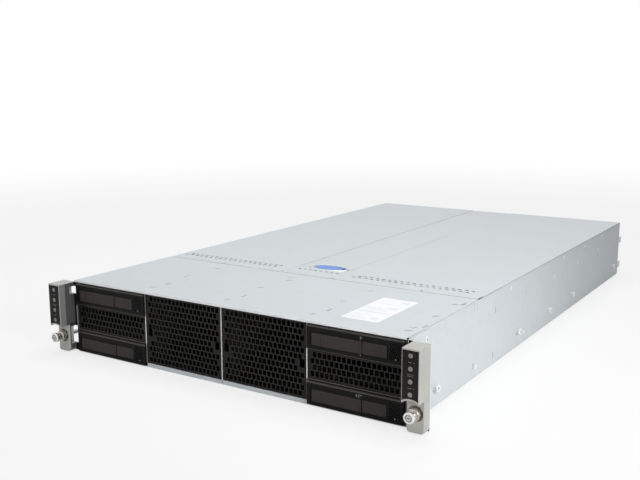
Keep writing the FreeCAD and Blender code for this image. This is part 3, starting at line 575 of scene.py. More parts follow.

# group, its scales, light and dark colour, roughness range,
# then metallic, gloss, bump, colour of the edges' painted highlight and wear, and its amount
finishes = {
    "zincTop": ("sheet", (95, 260), (0.66, 0.7, 0.72), (0.57, 0.61, 0.63), (0.36, 0.52),
        0.06, 0.12, 0.05, (0.86, 0.88, 0.9), 0.5),
    "zincInner": ("sheet", (120, 300), (0.52, 0.54, 0.55), (0.4, 0.42, 0.43), (0.38, 0.55),
        0.55, 0.5, 0.06, (0.7, 0.72, 0.73), 0.4),
    "cageZincShaded": ("sheet", (140, 300), (0.1, 0.093, 0.085), (0.06, 0.056, 0.05), (0.4, 0.6),
        0.2, 0.3, 0.05, (0.17, 0.155, 0.14), 0.5),
    "paintedHighlight": ("sheet", (300, 500), (0.93, 0.93, 0.92), (0.82, 0.82, 0.81), (0.3, 0.45),
        0.1, 0.5, 0.03, (0.96, 0.96, 0.95), 0.3),
    "dividerEdge": ("sheet", (300, 500), (0.36, 0.32, 0.29), (0.22, 0.19, 0.17), (0.3, 0.45),
        0.1, 0.5, 0.03, (0.6, 0.57, 0.54), 0.4),
    "bezelCrownSheen": ("grain", (1300,), (0.058, 0.055, 0.053), (0.044, 0.041, 0.039), (0.34, 0.5),
        0.0, 0.3, 0.1, (0.11, 0.1, 0.095), 0.5),
    "nickelPlate": ("sheet", (420, 900), (0.68, 0.65, 0.6), (0.5, 0.48, 0.44), (0.2, 0.34),
        1.0, 0.5, 0.04, (0.85, 0.84, 0.82), 0.5),
    "caseSteel": ("sheet", (110, 280), (0.56, 0.58, 0.6), (0.44, 0.46, 0.48), (0.3, 0.46),
        0.7, 0.5, 0.05, (0.8, 0.81, 0.82), 0.4),
    "castAlloy": ("grain", (700,), (0.52, 0.53, 0.54), (0.42, 0.43, 0.44), (0.32, 0.5),
        0.8, 0.5, 0.12, (0.75, 0.76, 0.77), 0.4),
    "blackSteel": ("grain", (1100,), (0.013, 0.0115, 0.0105), (0.008, 0.0075, 0.007), (0.38, 0.55),
        0.0, 0.18, 0.1, (0.11, 0.105, 0.1), 0.6),
    "bezelBlack": ("grain", (1300,), (0.009, 0.0085, 0.008), (0.006, 0.0055, 0.005), (0.34, 0.5),
        0.0, 0.1, 0.1, (0.035, 0.032, 0.03), 0.5),
    "leverGrey": ("grain", (1500,), (0.034, 0.028, 0.025), (0.026, 0.0215, 0.019), (0.42, 0.6),
        0.0, 0.25, 0.12, (0.12, 0.11, 0.1), 0.5),
    "earGrey": ("grain", (1400,), (0.49, 0.485, 0.455), (0.425, 0.42, 0.395), (0.42, 0.6),
        0.0, 0.5, 0.12, (0.68, 0.68, 0.66), 0.4),
    "paintedShadeGrey": ("sheet", (95, 260), (0.4, 0.42, 0.44), (0.33, 0.35, 0.37), (0.4, 0.55),
        0.0, 0.12, 0.03, (0.5, 0.52, 0.54), 0.3),
    "earShade": ("grain", (1400,), (0.1, 0.1, 0.103), (0.075, 0.075, 0.078), (0.42, 0.6),
        0.0, 0.2, 0.12, (0.3, 0.3, 0.29), 0.4),
    "knobRecessShade": ("sheet", (420, 900), (0.3, 0.28, 0.26), (0.2, 0.19, 0.17), (0.3, 0.42),
        0.5, 0.5, 0.04, (0.5, 0.48, 0.46), 0.4),
    "earFlankShade": ("grain", (1400,), (0.24, 0.25, 0.25), (0.19, 0.2, 0.2), (0.42, 0.6),
        0.0, 0.3, 0.12, (0.5, 0.5, 0.49), 0.4),
    "brightZincAndHighlight": ("sheet", (420, 900), (0.88, 0.89, 0.89), (0.76, 0.77, 0.78), (0.25, 0.38),
        0.15, 0.5, 0.04, (0.95, 0.95, 0.95), 0.5),
    "finAlloy": ("sheet", (260, 700), (0.62, 0.63, 0.64), (0.5, 0.51, 0.52), (0.3, 0.42),
        0.75, 0.5, 0.04, (0.85, 0.86, 0.87), 0.4),
    "connectorBlue": ("grain", (1500,), (0.03, 0.09, 0.35), (0.02, 0.06, 0.26), (0.35, 0.5),
        0.0, 0.5, 0.08, (0.2, 0.3, 0.6), 0.3),
    "lampGreen": ("grain", (1800,), (0.12, 0.5, 0.2), (0.08, 0.4, 0.15), (0.15, 0.25),
        0.0, 0.5, 0.03, (0.5, 0.8, 0.6), 0.2),
    "inlayBlack": ("grain", (2400,), (0.015, 0.0125, 0.011), (0.01, 0.0085, 0.0078), (0.22, 0.36),
        0.0, 0.15, 0.05, (0.1, 0.09, 0.085), 0.3),
    "markGrey": ("grain", (2000,), (0.24, 0.23, 0.225), (0.18, 0.17, 0.165), (0.4, 0.5),
        0.0, 0.5, 0.05, (0.2, 0.19, 0.18), 0.2),
    "buttonGrey": ("grain", (1600,), (0.25, 0.24, 0.235), (0.19, 0.18, 0.175), (0.24, 0.36),
        0.0, 0.5, 0.08, (0.34, 0.33, 0.32), 0.4),
    "padBlue": ("grain", (1200,), (0.1, 0.27, 0.72), (0.08, 0.22, 0.64), (0.34, 0.48),
        0.0, 0.5, 0.1, (0.4, 0.56, 0.9), 0.4),
    "labelPaper": ("grain", (900,), (0.92, 0.93, 0.95), (0.86, 0.87, 0.89), (0.4, 0.55),
        0.0, 0.5, 0.04, (0.95, 0.95, 0.96), 0.2),
    "labelShade": ("grain", (900,), (0.8, 0.83, 0.87), (0.74, 0.77, 0.82), (0.4, 0.55),
        0.0, 0.5, 0.04, (0.85, 0.87, 0.9), 0.2),
    "boardGreen": ("grain", (320,), (0.022, 0.13, 0.065), (0.012, 0.075, 0.04), (0.28, 0.42),
        0.0, 0.5, 0.1, (0.3, 0.3, 0.18), 0.4),
    "plasticBlack": ("grain", (1500,), (0.03, 0.03, 0.031), (0.02, 0.02, 0.021), (0.4, 0.58),
        0.0, 0.25, 0.1, (0.09, 0.09, 0.09), 0.4),
    "goldContact": ("sheet", (600, 800), (0.83, 0.62, 0.28), (0.7, 0.5, 0.2), (0.2, 0.32),
        1.0, 0.5, 0.03, (0.95, 0.8, 0.5), 0.3),
    "lensSmoke": ("grain", (1800,), (0.34, 0.36, 0.34), (0.26, 0.28, 0.26), (0.12, 0.2),
        0.0, 0.5, 0.03, (0.6, 0.62, 0.6), 0.2),
}


def makeFinish(name, group, scales, light, dark, rough, metallic, gloss, bump, edge, amount):
    material = bpy.data.materials.new(name)
    material.use_nodes = True
    tree = material.node_tree
    place = addNode(tree, "ShaderNodeTexCoord").outputs["Object"]
    names = ("Light Color", "Dark Color") if group == "sheet" else ("Hazy Color", "Base Color")
    values = {"Vector": place, names[0]: (*light, 1), names[1]: (*dark, 1),
              "Rough Low": rough[0], "Rough High": rough[1]}
    values.update(zip(("Spangle Scale", "Streak Scale") if group == "sheet" else ("Grain Scale",), scales))
    body = addNode(tree, "ShaderNodeGroup", {"node_tree": groups[group]}, values).outputs
    edgeHighlight = addNode(tree, "ShaderNodeGroup", {"node_tree": groups["edgeHighlight"]}, {"Vector": place, "Amount": amount})
    # the edges take the edge colour: painted highlight, with some wear
    highlitEdges = mixColours(tree, edgeHighlight.outputs["Edge"], body["Color"], (*edge, 1))
    relief = addNode(tree, "ShaderNodeBump", None, {"Height": body["Height"], "Strength": bump, "Distance": 0.0004})
    shader = tree.nodes["Principled BSDF"].inputs
    for socket, value in (("Base Color", highlitEdges), ("Roughness", body["Roughness"]), ("Normal", relief.outputs["Normal"])):
        tree.links.new(value, shader[socket])
    shader["Metallic"].default_value = metallic
    shader["Specular IOR Level"].default_value = gloss
    return material


paint = {name: makeFinish(name, *look) for name, look in finishes.items()}
print("finishes ready:", len(paint))

# CAD nodes that keep their own shape
carriedOver = {
    # the drive cage is zinc darkened to painted shade
    "chassis_tray": "zincTop", "drive_cage": "cageZincShaded", "drive_backplane": "boardGreen",
    "bay_dividers": "zincInner", "node_shelves": "zincInner", "power_distribution_boards": "boardGreen",
}
for name, finish in carriedOver.items():
    materials = nodes[name].data.materials
    materials.clear()
    materials.append(paint[finish])


# Fixed front panel: hemmed sheet with formed marks and a blank label

topPanel = {
    "skin": 0.08,       # how far the sheet's face lies under the top of the chassis
    "sheet": 1.1,
    "foldRadius": 0.8,
    "seamRelief": 0.25,
    "slit": (5.6, 1.25),
    "slitShift": (0.9, 1.45),       # the two slits of a mark from its middle
    "marks": [
        (-116, 22), (-112.5, 43), (-117, 139), (-9.6, 22.7), (-11.6, 85.4), (-4.5, 132.5), (-12, 146), (100, 22),
        (99.5, 82), (103, 138), (209, 20), (208.5, 31.4), (209, 80.5), (207, 133), (213.5, 136),
    ],
    "longSlit": (1.5, 10.5),
    "longSlits": [(-120.6, 84.7), (-3.5, 45.3), (107, 44), (215.8, 41.5), (213.6, 140.5)],
    "foldShade": (0.9, 0.35),       # its low and high edge below the face
    "relief": (3.0, 0.9, 1.9, 0.15),        # length, width, low and high edge below the face
    "label": ((129.0, 28.5), (171.5, 119.0)),
    "labelCorner": 1.5,
    "labelRules": [(4, 6, 26, 9), (4, 13, 19, 15), (4, 19, 24, 21), (29, 6, 38, 15), (4, 30, 38, 34), (4, 40, 30, 42),
                   (4, 47, 22, 49), (27, 47, 38, 57), (4, 66, 34, 69), (4, 74, 24, 76), (28, 74, 38, 84)],
}


def makeTopPanel():
    look = topPanel
    low, high = cornersOf("front_top_panel")
    level, back = high.z - look["skin"], high.y - look["seamRelief"]
    bm = flatSheet((0, 1), level, (low.x, low.y), (high.x, back))
    pushRim(bm, [e for e in bm.edges if onPlane(e, 1, low.y)], (0, 0, low.z - level))
    shiftX, shiftY = look["slitShift"]
    slits = [(x + row * shiftX, y + row * shiftY, look["slit"]) for x, y in look["marks"] for row in (-1, 1)]
    for x, y, (wide, deep) in slits + [(x, y, look["longSlit"]) for x, y in look["longSlits"]]:
        y += frontEdge
        openPatch(bm, (0, 1), level, (x - wide / 2, y - deep / 2), (x + wide / 2, y + deep / 2))
    faceTowards(bm, (0, 0, 1))
    soften(bm, [e for e in bm.edges if bends(e, 0) and onPlane(e, 1, low.y) and onPlane(e, 2, level)],
           look["foldRadius"], 3)
    thicken(bm, look["sheet"])
    newPiece("topPanel", bm, "chassis", "zincTop", "front_top_panel")
    # near-white strip on the hem's front face: painted highlight
    hem = ((low.x + 0.6, low.y - 0.08, low.z + 0.1), (high.x - 0.6, low.y + 0.4, high.z - 0.5))
    newPiece("hemHighlight", boxes([hem], 0.15), "chassis", "paintedHighlight")

    # painted shade along the folds of both sides, and a small black block at each front corner as painted shade
    base, crown = look["foldShade"]
    long, wide, deep, shallow = look["relief"]
    start = low.y + long
    newPiece("panelFoldShade", boxes([((s * (high.x - 0.3), start, level - base), (s * (high.x + 0.04), back, level - crown))
                                 for s in (-1, 1)]), "chassis", "paintedShadeGrey")
    newPiece("cornerReliefShade", boxes([((s * (high.x - wide), low.y - 0.05, level - deep),
                                     (s * (high.x + 0.05), start, level - shallow)) for s in (-1, 1)]),
             "chassis", "blackSteel")

    # label, with pale rules where the print would be
    (x0, y0), (x1, y1) = look["label"]
    bm = boxes([((x0, frontEdge + y0, level), (x1, frontEdge + y1, high.z - 0.03))])
    soften(bm, [e for e in bm.edges if lengthAlong(e, 2) > touching], look["labelCorner"], 4)
    newPiece("blankLabel", bm, "chassis", "labelPaper")
    y0 += frontEdge
    newPiece("labelRules", boxes([((x0 + u0, y0 + v0, high.z - 0.06), (x0 + u1, y0 + v1, high.z))
                                  for u0, v0, u1, v1 in look["labelRules"]]), "chassis", "labelShade")


makeTopPanel()
print("top panel made")


# Sliding cover: vents, swage, notches and the oval latch pad

cover = {
    "skin": 0.08,
    "sheet": 1.1,
    "flange": (1.5, 1.0),       # its outer face from the side, and its thickness
    "swage": (-40.0, 31.0, 1.6, 0.5),       # left, right, slope, depth
    "swageFront": (200.0, 203.5),
    "ventFields": [((-213.5, 184.6), (-56.0, 199.6)), ((47.0, 184.6), (204.5, 199.6))],
    "ventColumns": 19,
    "ventWeb": 3.3,
    "ventCorner": 1.5,
    "seamRelief": 0.25,
    "middleVents": ((-34.0, 190.2), (28.0, 197.8), 8),
    "shadeSheet": (1.6, 1.25),      # its low and high face below the top
    "dots": [(-26.5, 212.5), (24.9, 218.4), (-39.0, 169.0), (32.7, 169.0), (-130.0, 169.4), (150.0, 169.4)],
    "dotRadius": 1.7,
    "notch": (2.2, 15.0),
    "creases": [(-39.9, -39.2, 206, 770), (29.9, 30.5, 206, 519)],
    "padHalf": (23.0, 11.0),
    "padProfile": [(0, 0.0), (0.55, 0.0), (0.86, -0.12), (0.955, -0.45), (0.965, -1.6), (1.06, -1.7), (1.06, -2.4),
                   (0, -2.4)],      # share of the half size, and height
    "padRim": [(1.0, -0.6), (1.0, 0.3), (1.03, 0.42), (1.06, 0.3), (1.08, 0.0), (1.08, -0.6)],
    "padSlotShade": (18.6, 3.4, 7.0),
}


def makeCover():
    look = cover
    low, high = cornersOf("top_cover")
    level, start = high.z - look["skin"], low.y + look["seamRelief"]
    top = (0, 1)
    bm = flatSheet(top, level, (low.x, start), (high.x, high.y))
    left, right, slope, depth = look["swage"]
    y0, y1 = (frontEdge + y for y in look["swageFront"])
    cutPatch(bm, top, level, (left, y0), (right, high.y))
    cutPatch(bm, top, level, (left + slope, y1), (right - slope, high.y))
    vents = [((x0, frontEdge + v0), (x1, frontEdge + v1))
             for (x0, v0), (x1, v1) in look["ventFields"] + [look["middleVents"][:2]]]
    for field in vents[:-1]:
        perforate(bm, top, level, *field, look["ventColumns"], 2, look["ventWeb"], look["ventCorner"])
    perforate(bm, top, level, *vents[-1], look["middleVents"][2], 1, look["ventWeb"], look["ventCorner"],
              staggered=False)
    for v in bm.verts:
        if left + slope - touching < v.co.x < right - slope + touching and v.co.y > y1 - touching:
            v.co.z = level - depth
    padLow, padHigh = cornersOf("cover_latch")
    padY = (padLow.y + padHigh.y) / 2
    openOval(bm, top, level - depth, (0, padY), look["padHalf"], 6, 48)
    for x, y in look["dots"]:
        floor = level - depth if left < x < right and y > look["swageFront"][1] else level
        openOval(bm, top, floor, (x, frontEdge + y), (look["dotRadius"],) * 2, 1.2, 12)
    wide, deep = look["notch"]
    shoulder = low.y + deep
    openPatch(bm, top, level, (low.x, start), (low.x + wide, shoulder))
    openPatch(bm, top, level, (high.x - wide, start), (high.x, shoulder))
    bmesh.ops.recalc_face_normals(bm, faces=bm.faces)
    bmesh.ops.reverse_faces(bm, faces=[f for f in bm.faces if f.normal.z < 0])
    thicken(bm, look["sheet"])
    inset, sheet = look["flange"]
    for sign in (-1, 1):
        addBox(bm, (sign * (high.x - inset - sheet), shoulder, low.z),
               (sign * (high.x - inset), high.y, high.z - look["sheet"] - 0.2), 0.2, 1)
    newPiece("slidingCover", bm, "cover", "zincTop", "top_cover")

    # painted shade along the creases of the swage and of the side folds
    bm = boxes([((x0, frontEdge + v0, level - 0.3), (x1, frontEdge + v1, level + 0.03))
                for x0, x1, v0, v1 in look["creases"]])
    base, crown = topPanel["foldShade"]
    for sign in (-1, 1):
        addBox(bm, (sign * (high.x - 0.3), shoulder, level - base), (sign * (high.x + 0.04), high.y - 1, level - crown))
    newPiece("creaseShade", bm, "cover", "paintedShadeGrey")

    # dark sheets below the vents: painted shade seen through the holes
    base, crown = (high.z - drop for drop in look["shadeSheet"])
    newPiece("ventShadeSheets", boxes([((x0 - 1, v0 - 1, base), (x1 + 1, v1 + 1, crown)) for (x0, v0), (x1, v1) in vents]),
             "cover", "blackSteel")

    # latch pad with a dark oval on it, painted shade of its finger slot, in a raised rim
    def stretched(place, halfX, halfY):
        return Matrix.Translation(place) @ Matrix.Diagonal((halfX, halfY, 1, 1))

    origin, up = (0, 0, 0), (0, 0, 1)
    padTop = cornersOf("cover_latch")[1].z
    pad, slot, rim = bmesh.new(), bmesh.new(), bmesh.new()
    addTurned(pad, look["padProfile"], origin, up, 48)
    pad.transform(stretched((0, padY, padTop - 0.05), *look["padHalf"]))
    newPiece("latchPad", pad, "cover_pad", "padBlue", "cover_latch")
    slotX, slotWide, slotDeep = look["padSlotShade"]
    addRod(slot, origin, up, 1, 0.5)
    slot.transform(stretched((slotX, padY, padTop - 0.5), slotWide / 2, slotDeep / 2))
    newPiece("padSlotShade", slot, "cover_pad", "plasticBlack")
    addTurned(rim, look["padRim"], origin, up, 48, ring=True)
    rim.transform(stretched((0, padY, level - depth), *look["padHalf"]))
    newPiece("latchRim", rim, "cover", "nickelPlate")


makeCover()
print("cover made")


# Perforated panels between the carriers

grilles = {
    "sheet": 1.0,
    "fold": 0.9,
    "border": (2.8, 1.8),
    "centre": (18, 12),     # columns and rows
    "blank": (18, 4),
    "web": 1.15,
    "holeCorner": 0.7,
    "clip": (2.6, 6.2, 36.6, 9.0),     # from the side, width, base, height
    "clipBorder": (2.6, 2.0),
    "clipDepth": 1.6,
    "gap": 0.5,     # between a panel and the divider beside it
}


def makeGrille(x, z, y, depth, pattern, clips):
    look = grilles
    face = (0, 2)
    bm = flatSheet(face, y, (x[0], z[0]), (x[1], z[1]))
    side, wide, base, tall = look["clip"]
    places = [(x[0] + side, base), (x[1] - side - wide, base)] if clips else []
    aroundX, aroundZ = look["clipBorder"]

    def closed(u, v):
        return any(a - aroundX < u < a + wide + aroundX and b - aroundZ < v < b + tall + aroundZ for a, b in places)

    borderX, borderZ = look["border"]
    perforate(bm, face, y, (x[0] + borderX, z[0] + borderZ), (x[1] - borderX, z[1] - borderZ), *pattern,
              look["web"], look["holeCorner"], closed=closed)
    for a, b in places:
        pushRim(bm, openPatch(bm, face, y, (a, b), (a + wide, b + tall)), (0, look["clipDepth"], 0))

    def onOutline(e):
        return any(onPlane(e, axis, place) for axis, pair in ((0, x), (2, z)) for place in pair)

    pushRim(bm, [e for e in bm.edges if len(e.link_faces) == 1 and onOutline(e)], (0, depth, 0))
    faceTowards(bm, (0, -1, 0))
    soften(bm, [e for e in bm.edges if bends(e, 1) and onPlane(e, 1, y) and onOutline(e)], look["fold"])
    thicken(bm, look["sheet"])
    return bm


def makeGrilles():
    look = grilles
    for side in sides:
        name = "centre_grille_" + side
        low, high = cornersOf(name)
        bm = makeGrille((low.x, high.x), (low.z, high.z), low.y, high.y - low.y, look["centre"], True)
        newPiece("perforatedPanel_" + side, bm, "chassis", "blackSteel", name)
    row = cornersOf("blank_grilles")
    inner = cornersOf("carrier_top_right_frame")[0].x - look["gap"]
    for side, x in zip(sides, ((row[0].x, -inner), (inner, row[1].x))):
        bm = makeGrille(x, (row[0].z, row[1].z), row[0].y, row[1].y - row[0].y, look["blank"], False)
        newPiece("blankPanel_" + side, bm, "chassis", "blackSteel", "blank_grilles")

    # front edges of the cage's upright sheets, dull, with painted highlight on stretches of them
    outer = high.x + look["gap"]
    newPiece("dividerEdges", boxes([((x - 0.48, frontEdge - 0.12, low.z), (x + 0.48, frontEdge + 0.3, high.z))
                                    for x in (low.x - look["gap"], outer, -outer)], 0.1, 1),
             "chassis", "dividerEdge")
    bm = boxes([((x - 0.5, frontEdge - 0.25, row[0].z - 0.5), (x + 0.5, frontEdge + 0.2, row[1].z + 0.5))
                for x in (outer, -outer)], 0.12, 1)
    for x in (-0.25, 0.55):
        addBox(bm, (x - 0.2, frontEdge - 0.2, low.z), (x + 0.2, frontEdge + 0.2, high.z), 0.1, 1)
    newPiece("flangeHighlights", bm, "chassis", "paintedHighlight")


makeGrilles()
print("perforated panels made")


# Drive carriers: bezel with rails, swinging lever and release key

carrier = {
    "bezelDepth": 12.0,
    "topRound": 2.6,
    "topGap": 1.0,
    "pocket": (4.4, 90.1, 3.7, 17.0, 9.0),      # left, right, low, high, depth
    "rail": (2.5, 21.0, 146.0),
    "strip": (10.0, 1.0),
    "dotField": ((91.6, 3.4), (104.2, 20.4)),
    "dots": (5, 7),
    "dotWeb": 0.9,
    "dotDepth": 1.5,
    "leverLines": (12.0, 54.2),
    "leverLine": (0.7, 0.5, 0.5),       # border above and below, width, depth
    "capDepth": 5.0,
    "stem": (5.0, 1.3),     # half width, border above and below
    "lamp": (98.4, 4.7),
    "paleMarks": {"top": ((60.6, 18.0, 0.5, 3.4), (61.6, 20.0, 1.4, 0.5), (60.4, 2.2, 0.8, 0.9)),
                   "bottom": ((56.8, 18.2, 0.6, 3.0), (59.2, 18.2, 0.6, 3.0), (60.8, 20.4, 2.0, 0.5))},
}


def makeCarrier(row, side):
    look = carrier
    name = f"carrier_{row}_{side}"
    low, high = cornersOf(name + "_frame")
    front, back = low.y, low.y + look["bezelDepth"]
    crown = high.z - look["topGap"]
    bm = boxes([((low.x, front, low.z), (high.x, back, crown))])
    soften(bm, [e for e in bm.edges if onPlane(e, 1, front) and onPlane(e, 2, crown)], look["topRound"], 4)
    left, right, base, upper, depth = look["pocket"]
    sinkHole(bm, openPatch(bm, (0, 2), front, (low.x + left, low.z + base), (low.x + right, low.z + upper)),
             (0, depth, 0))
    (x0, z0), (x1, z1) = look["dotField"]
    bm.normal_update()
    perforate(bm, (0, 2), front, (low.x + x0, low.z + z0), (low.x + x1, low.z + z1), *look["dots"], look["dotWeb"],
              sink=look["dotDepth"])
    bmesh.ops.recalc_face_normals(bm, faces=bm.faces)
    railWide, railTall, railLong = look["rail"]
    stripWide, stripThick = look["strip"]
    for x in ((low.x, low.x + railWide), (high.x - railWide, high.x)):
        addBox(bm, (x[0], back - 0.5, low.z), (x[1], back + railLong, low.z + railTall), 0.4)
    for y in (back, back + railLong - stripWide):
        addBox(bm, (low.x + 0.5, y, low.z), (high.x - 0.5, y + stripWide, low.z + stripThick), 0.2, 1)
    bezel = newPiece(name + "_bezel", bm, name, "bezelBlack", name + "_frame")
    crown -= look["topRound"] + 0.4
    # up-facing faces of the rounded top are lighter: painted sheen from the light above
    paintFaces(bezel, "bezelCrownSheen", lambda c, n: c.z > crown and c.y < back and n.z > 0.2)

    # lever: barrel on the pin, grooved bar with a soft edge
    lever, end = cornersOf(name + "_lever")
    radius = (end.y - lever.y) / 2
    pivot = Vector((lever.x + radius, lever.y + radius, lever.z))
    bm = bmesh.new()
    addRod(bm, pivot, (0, 0, 1), radius, end.z - lever.z, 20, 0.4)
    bar = boxes([((pivot.x, lever.y, lever.z), end)], 0.6, 3)
    border, wide, depth = look["leverLine"]
    for line in look["leverLines"]:
        pocket(bar, (0, 2), lever.y, (lever.x + line, lever.z + border), (lever.x + line + wide, end.z - border),
               (0, depth, 0), 0.1)
    mergeIn(bm, bar)
    newPiece(name + "_leverBar", bm, name + "_lever_arm", "leverGrey", name + "_lever")

    # release key with its guide stem
    key, end = cornersOf(name + "_release")
    capBack, middle = key.y + look["capDepth"], (key.x + end.x) / 2
    half, border = look["stem"]
    bm = boxes([(key, (end.x, capBack, end.z))], 0.6, 3)
    addBox(bm, (middle - half, capBack - 0.3, key.z + border), (middle + half, end.y, end.z - border), 0.3)
    newPiece(name + "_releaseKey", bm, name + "_release_key", "leverGrey", name + "_release")

    # lamp lens, and small pale marks over the split of the bar on the right carriers
    u, w = look["lamp"]
    bm = bmesh.new()
    addRod(bm, (low.x + u, front + 0.8, low.z + w), (0, -1, 0), 0.75, 1.0, 14, 0.2)
    for u, w, wide, tall in look["paleMarks"][row] if side == "right" else ():
        addBox(bm, (low.x + u, front - 0.06, low.z + w), (low.x + u + wide, front + 0.3, low.z + w + tall))
    newPiece(name + "_lens", bm, name, "lensSmoke")


for row in ("bottom", "top"):
    for side in sides:
        makeCarrier(row, side)
print("carriers made")


# Control ears

ear = {
    "arch": 15.5,
    "inlayArch": 17.3,
    "padTop": 33.5,
    "padSetback": 11.5,
    "edge": 1.5,
    "padCorner": 3.4,
    "padEdge": 0.7,
    "scoop": (7.7, 3.0),
    "film": 0.12,
    "button": [(0, 0), (1.08, 0.05), (1.89, 0.2), (2.43, 0.45), (2.7, 0.8), (2.7, 1.9), (0, 1.9)],
    "knobRing": 3.4,
    "collar": 8.6,
    "neckEnd": 26.5,        # from the face of the knob
    "threads": (28.0, 0.8, 8),      # start, pitch, count
    "thread": [(2.2, 0), (2.62, 0.25), (2.62, 0.35), (2.2, 0.6)],
    "marks": ("dash", "lines", "dash"),     # between one button and the next
    "dash": (2.2, 1.0, 0.25, 3.6, 0.45),        # to its left and right end, half thickness, its dot's place and radius
    "lines": (3.2, 0.8, 0.16),      # half length, distance from the middle, half thickness
    "notch": (7.3, 6.0, (9.8, 30.8), (70.0, 79.0)),     # depth, width, heights of the two openings
    "shade": (8.5, 2.0),
}


def archOutline(x0, x1, y, top, screw, radius):
    # upright plate with an arch cut around the screw
    reach = [math.degrees(math.acos((x - screw.x) / radius)) for x in (x1, x0)]
    return [Vector((x0, y, top)), Vector((x1, y, top))] + arcPoints((screw.x, y, screw.z), radius, *reach, 16)


def makeEar(side):
    look = ear
    low, high = cornersOf("right_ear")
    screwLow, screwHigh = cornersOf("right_rack_screw")
    screw = (screwLow + screwHigh) / 2
    padFront = low.y + look["padSetback"]
    housing, bm = bmesh.new(), bmesh.new()
    addPrism(housing, archOutline(low.x, high.x, low.y, high.z, screw, look["arch"]), (0, high.y - low.y, 0))
    soften(housing, [e for e in sharpEdges(housing) if any(v.co.y < high.y - touching for v in e.verts)],
           look["edge"], 4)
    notchDeep, notchWide, lowWindow, topWindow = look["notch"]
    notchX, notchY = (low.x, low.x + notchWide), (high.y - notchDeep, high.y)
    upperShade, lowerShade = low.y + look["shade"][0], padFront + look["shade"][1]
    padTop = look["padTop"] + 1
    notchOut(housing, notchX, notchY, topWindow)
    # splits the flank where its painted shade turns darker
    cutPatch(housing, (1, 2), low.x, (upperShade, look["padTop"]), (high.y, high.z))
    mergeIn(bm, housing)
    pad = boxes([((low.x, padFront, low.z), (high.x, high.y, padTop))])
    soften(pad, [e for e in pad.edges if onPlane(e, 2, low.z) and lengthAlong(e, 1) > 1], look["padCorner"], 6)
    soften(pad, [e for e in pad.edges if onPlane(e, 1, padFront) and (
        lengthAlong(e, 0) < touching or all(v.co.z < look["padTop"] for v in e.verts))], look["padEdge"], 3)
    radius, depth = look["scoop"]
    sinkHole(pad, openOval(pad, (0, 2), padFront, (screw.x, screw.z), (radius, radius), 0.25), (0, depth, 0))
    bmesh.ops.recalc_face_normals(pad, faces=pad.faces)
    notchOut(pad, notchX, notchY, lowWindow)
    cutPatch(pad, (1, 2), low.x, (lowerShade, low.z), (high.y, padTop))
    mergeIn(bm, pad)
    moulding = newPiece(side + "_earMoulding", bm, "chassis", "earGrey", side + "_ear", side)
    inward = 1 if side == "left" else -1

    def onFlank(c, n, first, upper):
        return (n.x * inward > 0.9 and abs(c.x) < low.x + 0.1 and (c.z > padTop - 0.1) == upper
                and c.y > first and (upper or c.z > 1))

    # the inner flank is painted shade: mid grey at the front, darker behind
    paintFaces(moulding, "earFlankShade", lambda c, n: onFlank(c, n, low.y, True))
    paintFaces(moulding, "earShade", lambda c, n: onFlank(c, n, upperShade, True) or onFlank(c, n, lowerShade, False))

    # inlay film with its marks
    panelLow, panelHigh = cornersOf("right_button_panel")
    film = look["film"]
    bm = bmesh.new()
    addPrism(bm, archOutline(panelLow.x, panelHigh.x, low.y - film, panelHigh.z, screw, look["inlayArch"]),
             (0, film * 2, 0))
    newPiece(side + "_inlayFilm", bm, "chassis", "inlayBlack", side + "_button_panel", side)
    keys = [cornersOf(f"right_button_{i}") for i in (1, 2, 3, 4)]
    centres = [(a + b) / 2 for a, b in keys]
    left, right, thin, dot, dotRadius = look["dash"]
    long, apart, fine = look["lines"]
    bm = bmesh.new()
    for kind, above, below in zip(look["marks"], centres, centres[1:]):
        x, y, z = above.x, low.y - film - 0.05, (above.z + below.z) / 2
        if kind == "dash":
            addBox(bm, (x - left, y, z - thin), (x + right, low.y, z + thin))
            addRod(bm, (x + dot, low.y, z), (0, -1, 0), dotRadius, film + 0.08, 10)
        else:
            for line in (z - apart, z + apart):
                addBox(bm, (x - long, y, line - fine), (x + long, low.y, line + fine))
    newPiece(side + "_inlayMarks", bm, "chassis", "markGrey", side=side)
    for i, centre in enumerate(centres, 1):
        bm = bmesh.new()
        addTurned(bm, look["button"], (centre.x, keys[0][0].y, centre.z), (0, 1, 0), 28)
        newPiece(f"{side}_key_{i}", bm, f"{side}_button_{i}_key", "buttonGrey",
                 f"{side}_button_{i}", side)

    # captive screw: ringed face with a slot, knob, collar, neck and thread
    start, end, ring = screwLow.y, screwHigh.y - screwLow.y, look["knobRing"]
    seat = padFront + depth - 0.3 - start
    collar, neck = seat - look["collar"], look["neckEnd"]
    bm = bmesh.new()
    addTurned(bm, [(0, 0.7), (0.9, 0.7), (1.0, 0.15), (2.5, 0.15), (2.7, 0.4), (3.2, 0.4), (3.5, 0.02), (4.8, 0.05),
                   (5.4, 0.5), (5.6, 1.2), (5.6, ring), (5.2, ring + 0.5), (4.4, ring + 0.8), (4.4, ring + 2.2),
                   (4.8, ring + 2.4), (4.8, collar), (5.7, collar), (6.2, collar + 0.5), (6.2, seat - 0.4),
                   (5.8, seat), (2.1, seat), (2.1, neck), (2.5, neck + 0.5), (2.5, end - 0.6), (1.9, end), (0, end)],
              (screw.x, start, screw.z), (0, 1, 0), 40)
    addBox(bm, (screw.x - 2.3, start, screw.z - 0.35), (screw.x + 2.3, start + 0.4, screw.z + 0.35))
    first, pitch, count = look["threads"]
    for i in range(count):
        addTurned(bm, look["thread"], (screw.x, start + first + i * pitch, screw.z), (0, 1, 0), 20)
    knob = newPiece(side + "_thumbScrew", bm, side + "_rack_screw_body", "nickelPlate",
                    side + "_rack_screw", side)

    def fromAxis(c):
        return math.hypot(abs(c.x) - screw.x, c.z - screw.z)

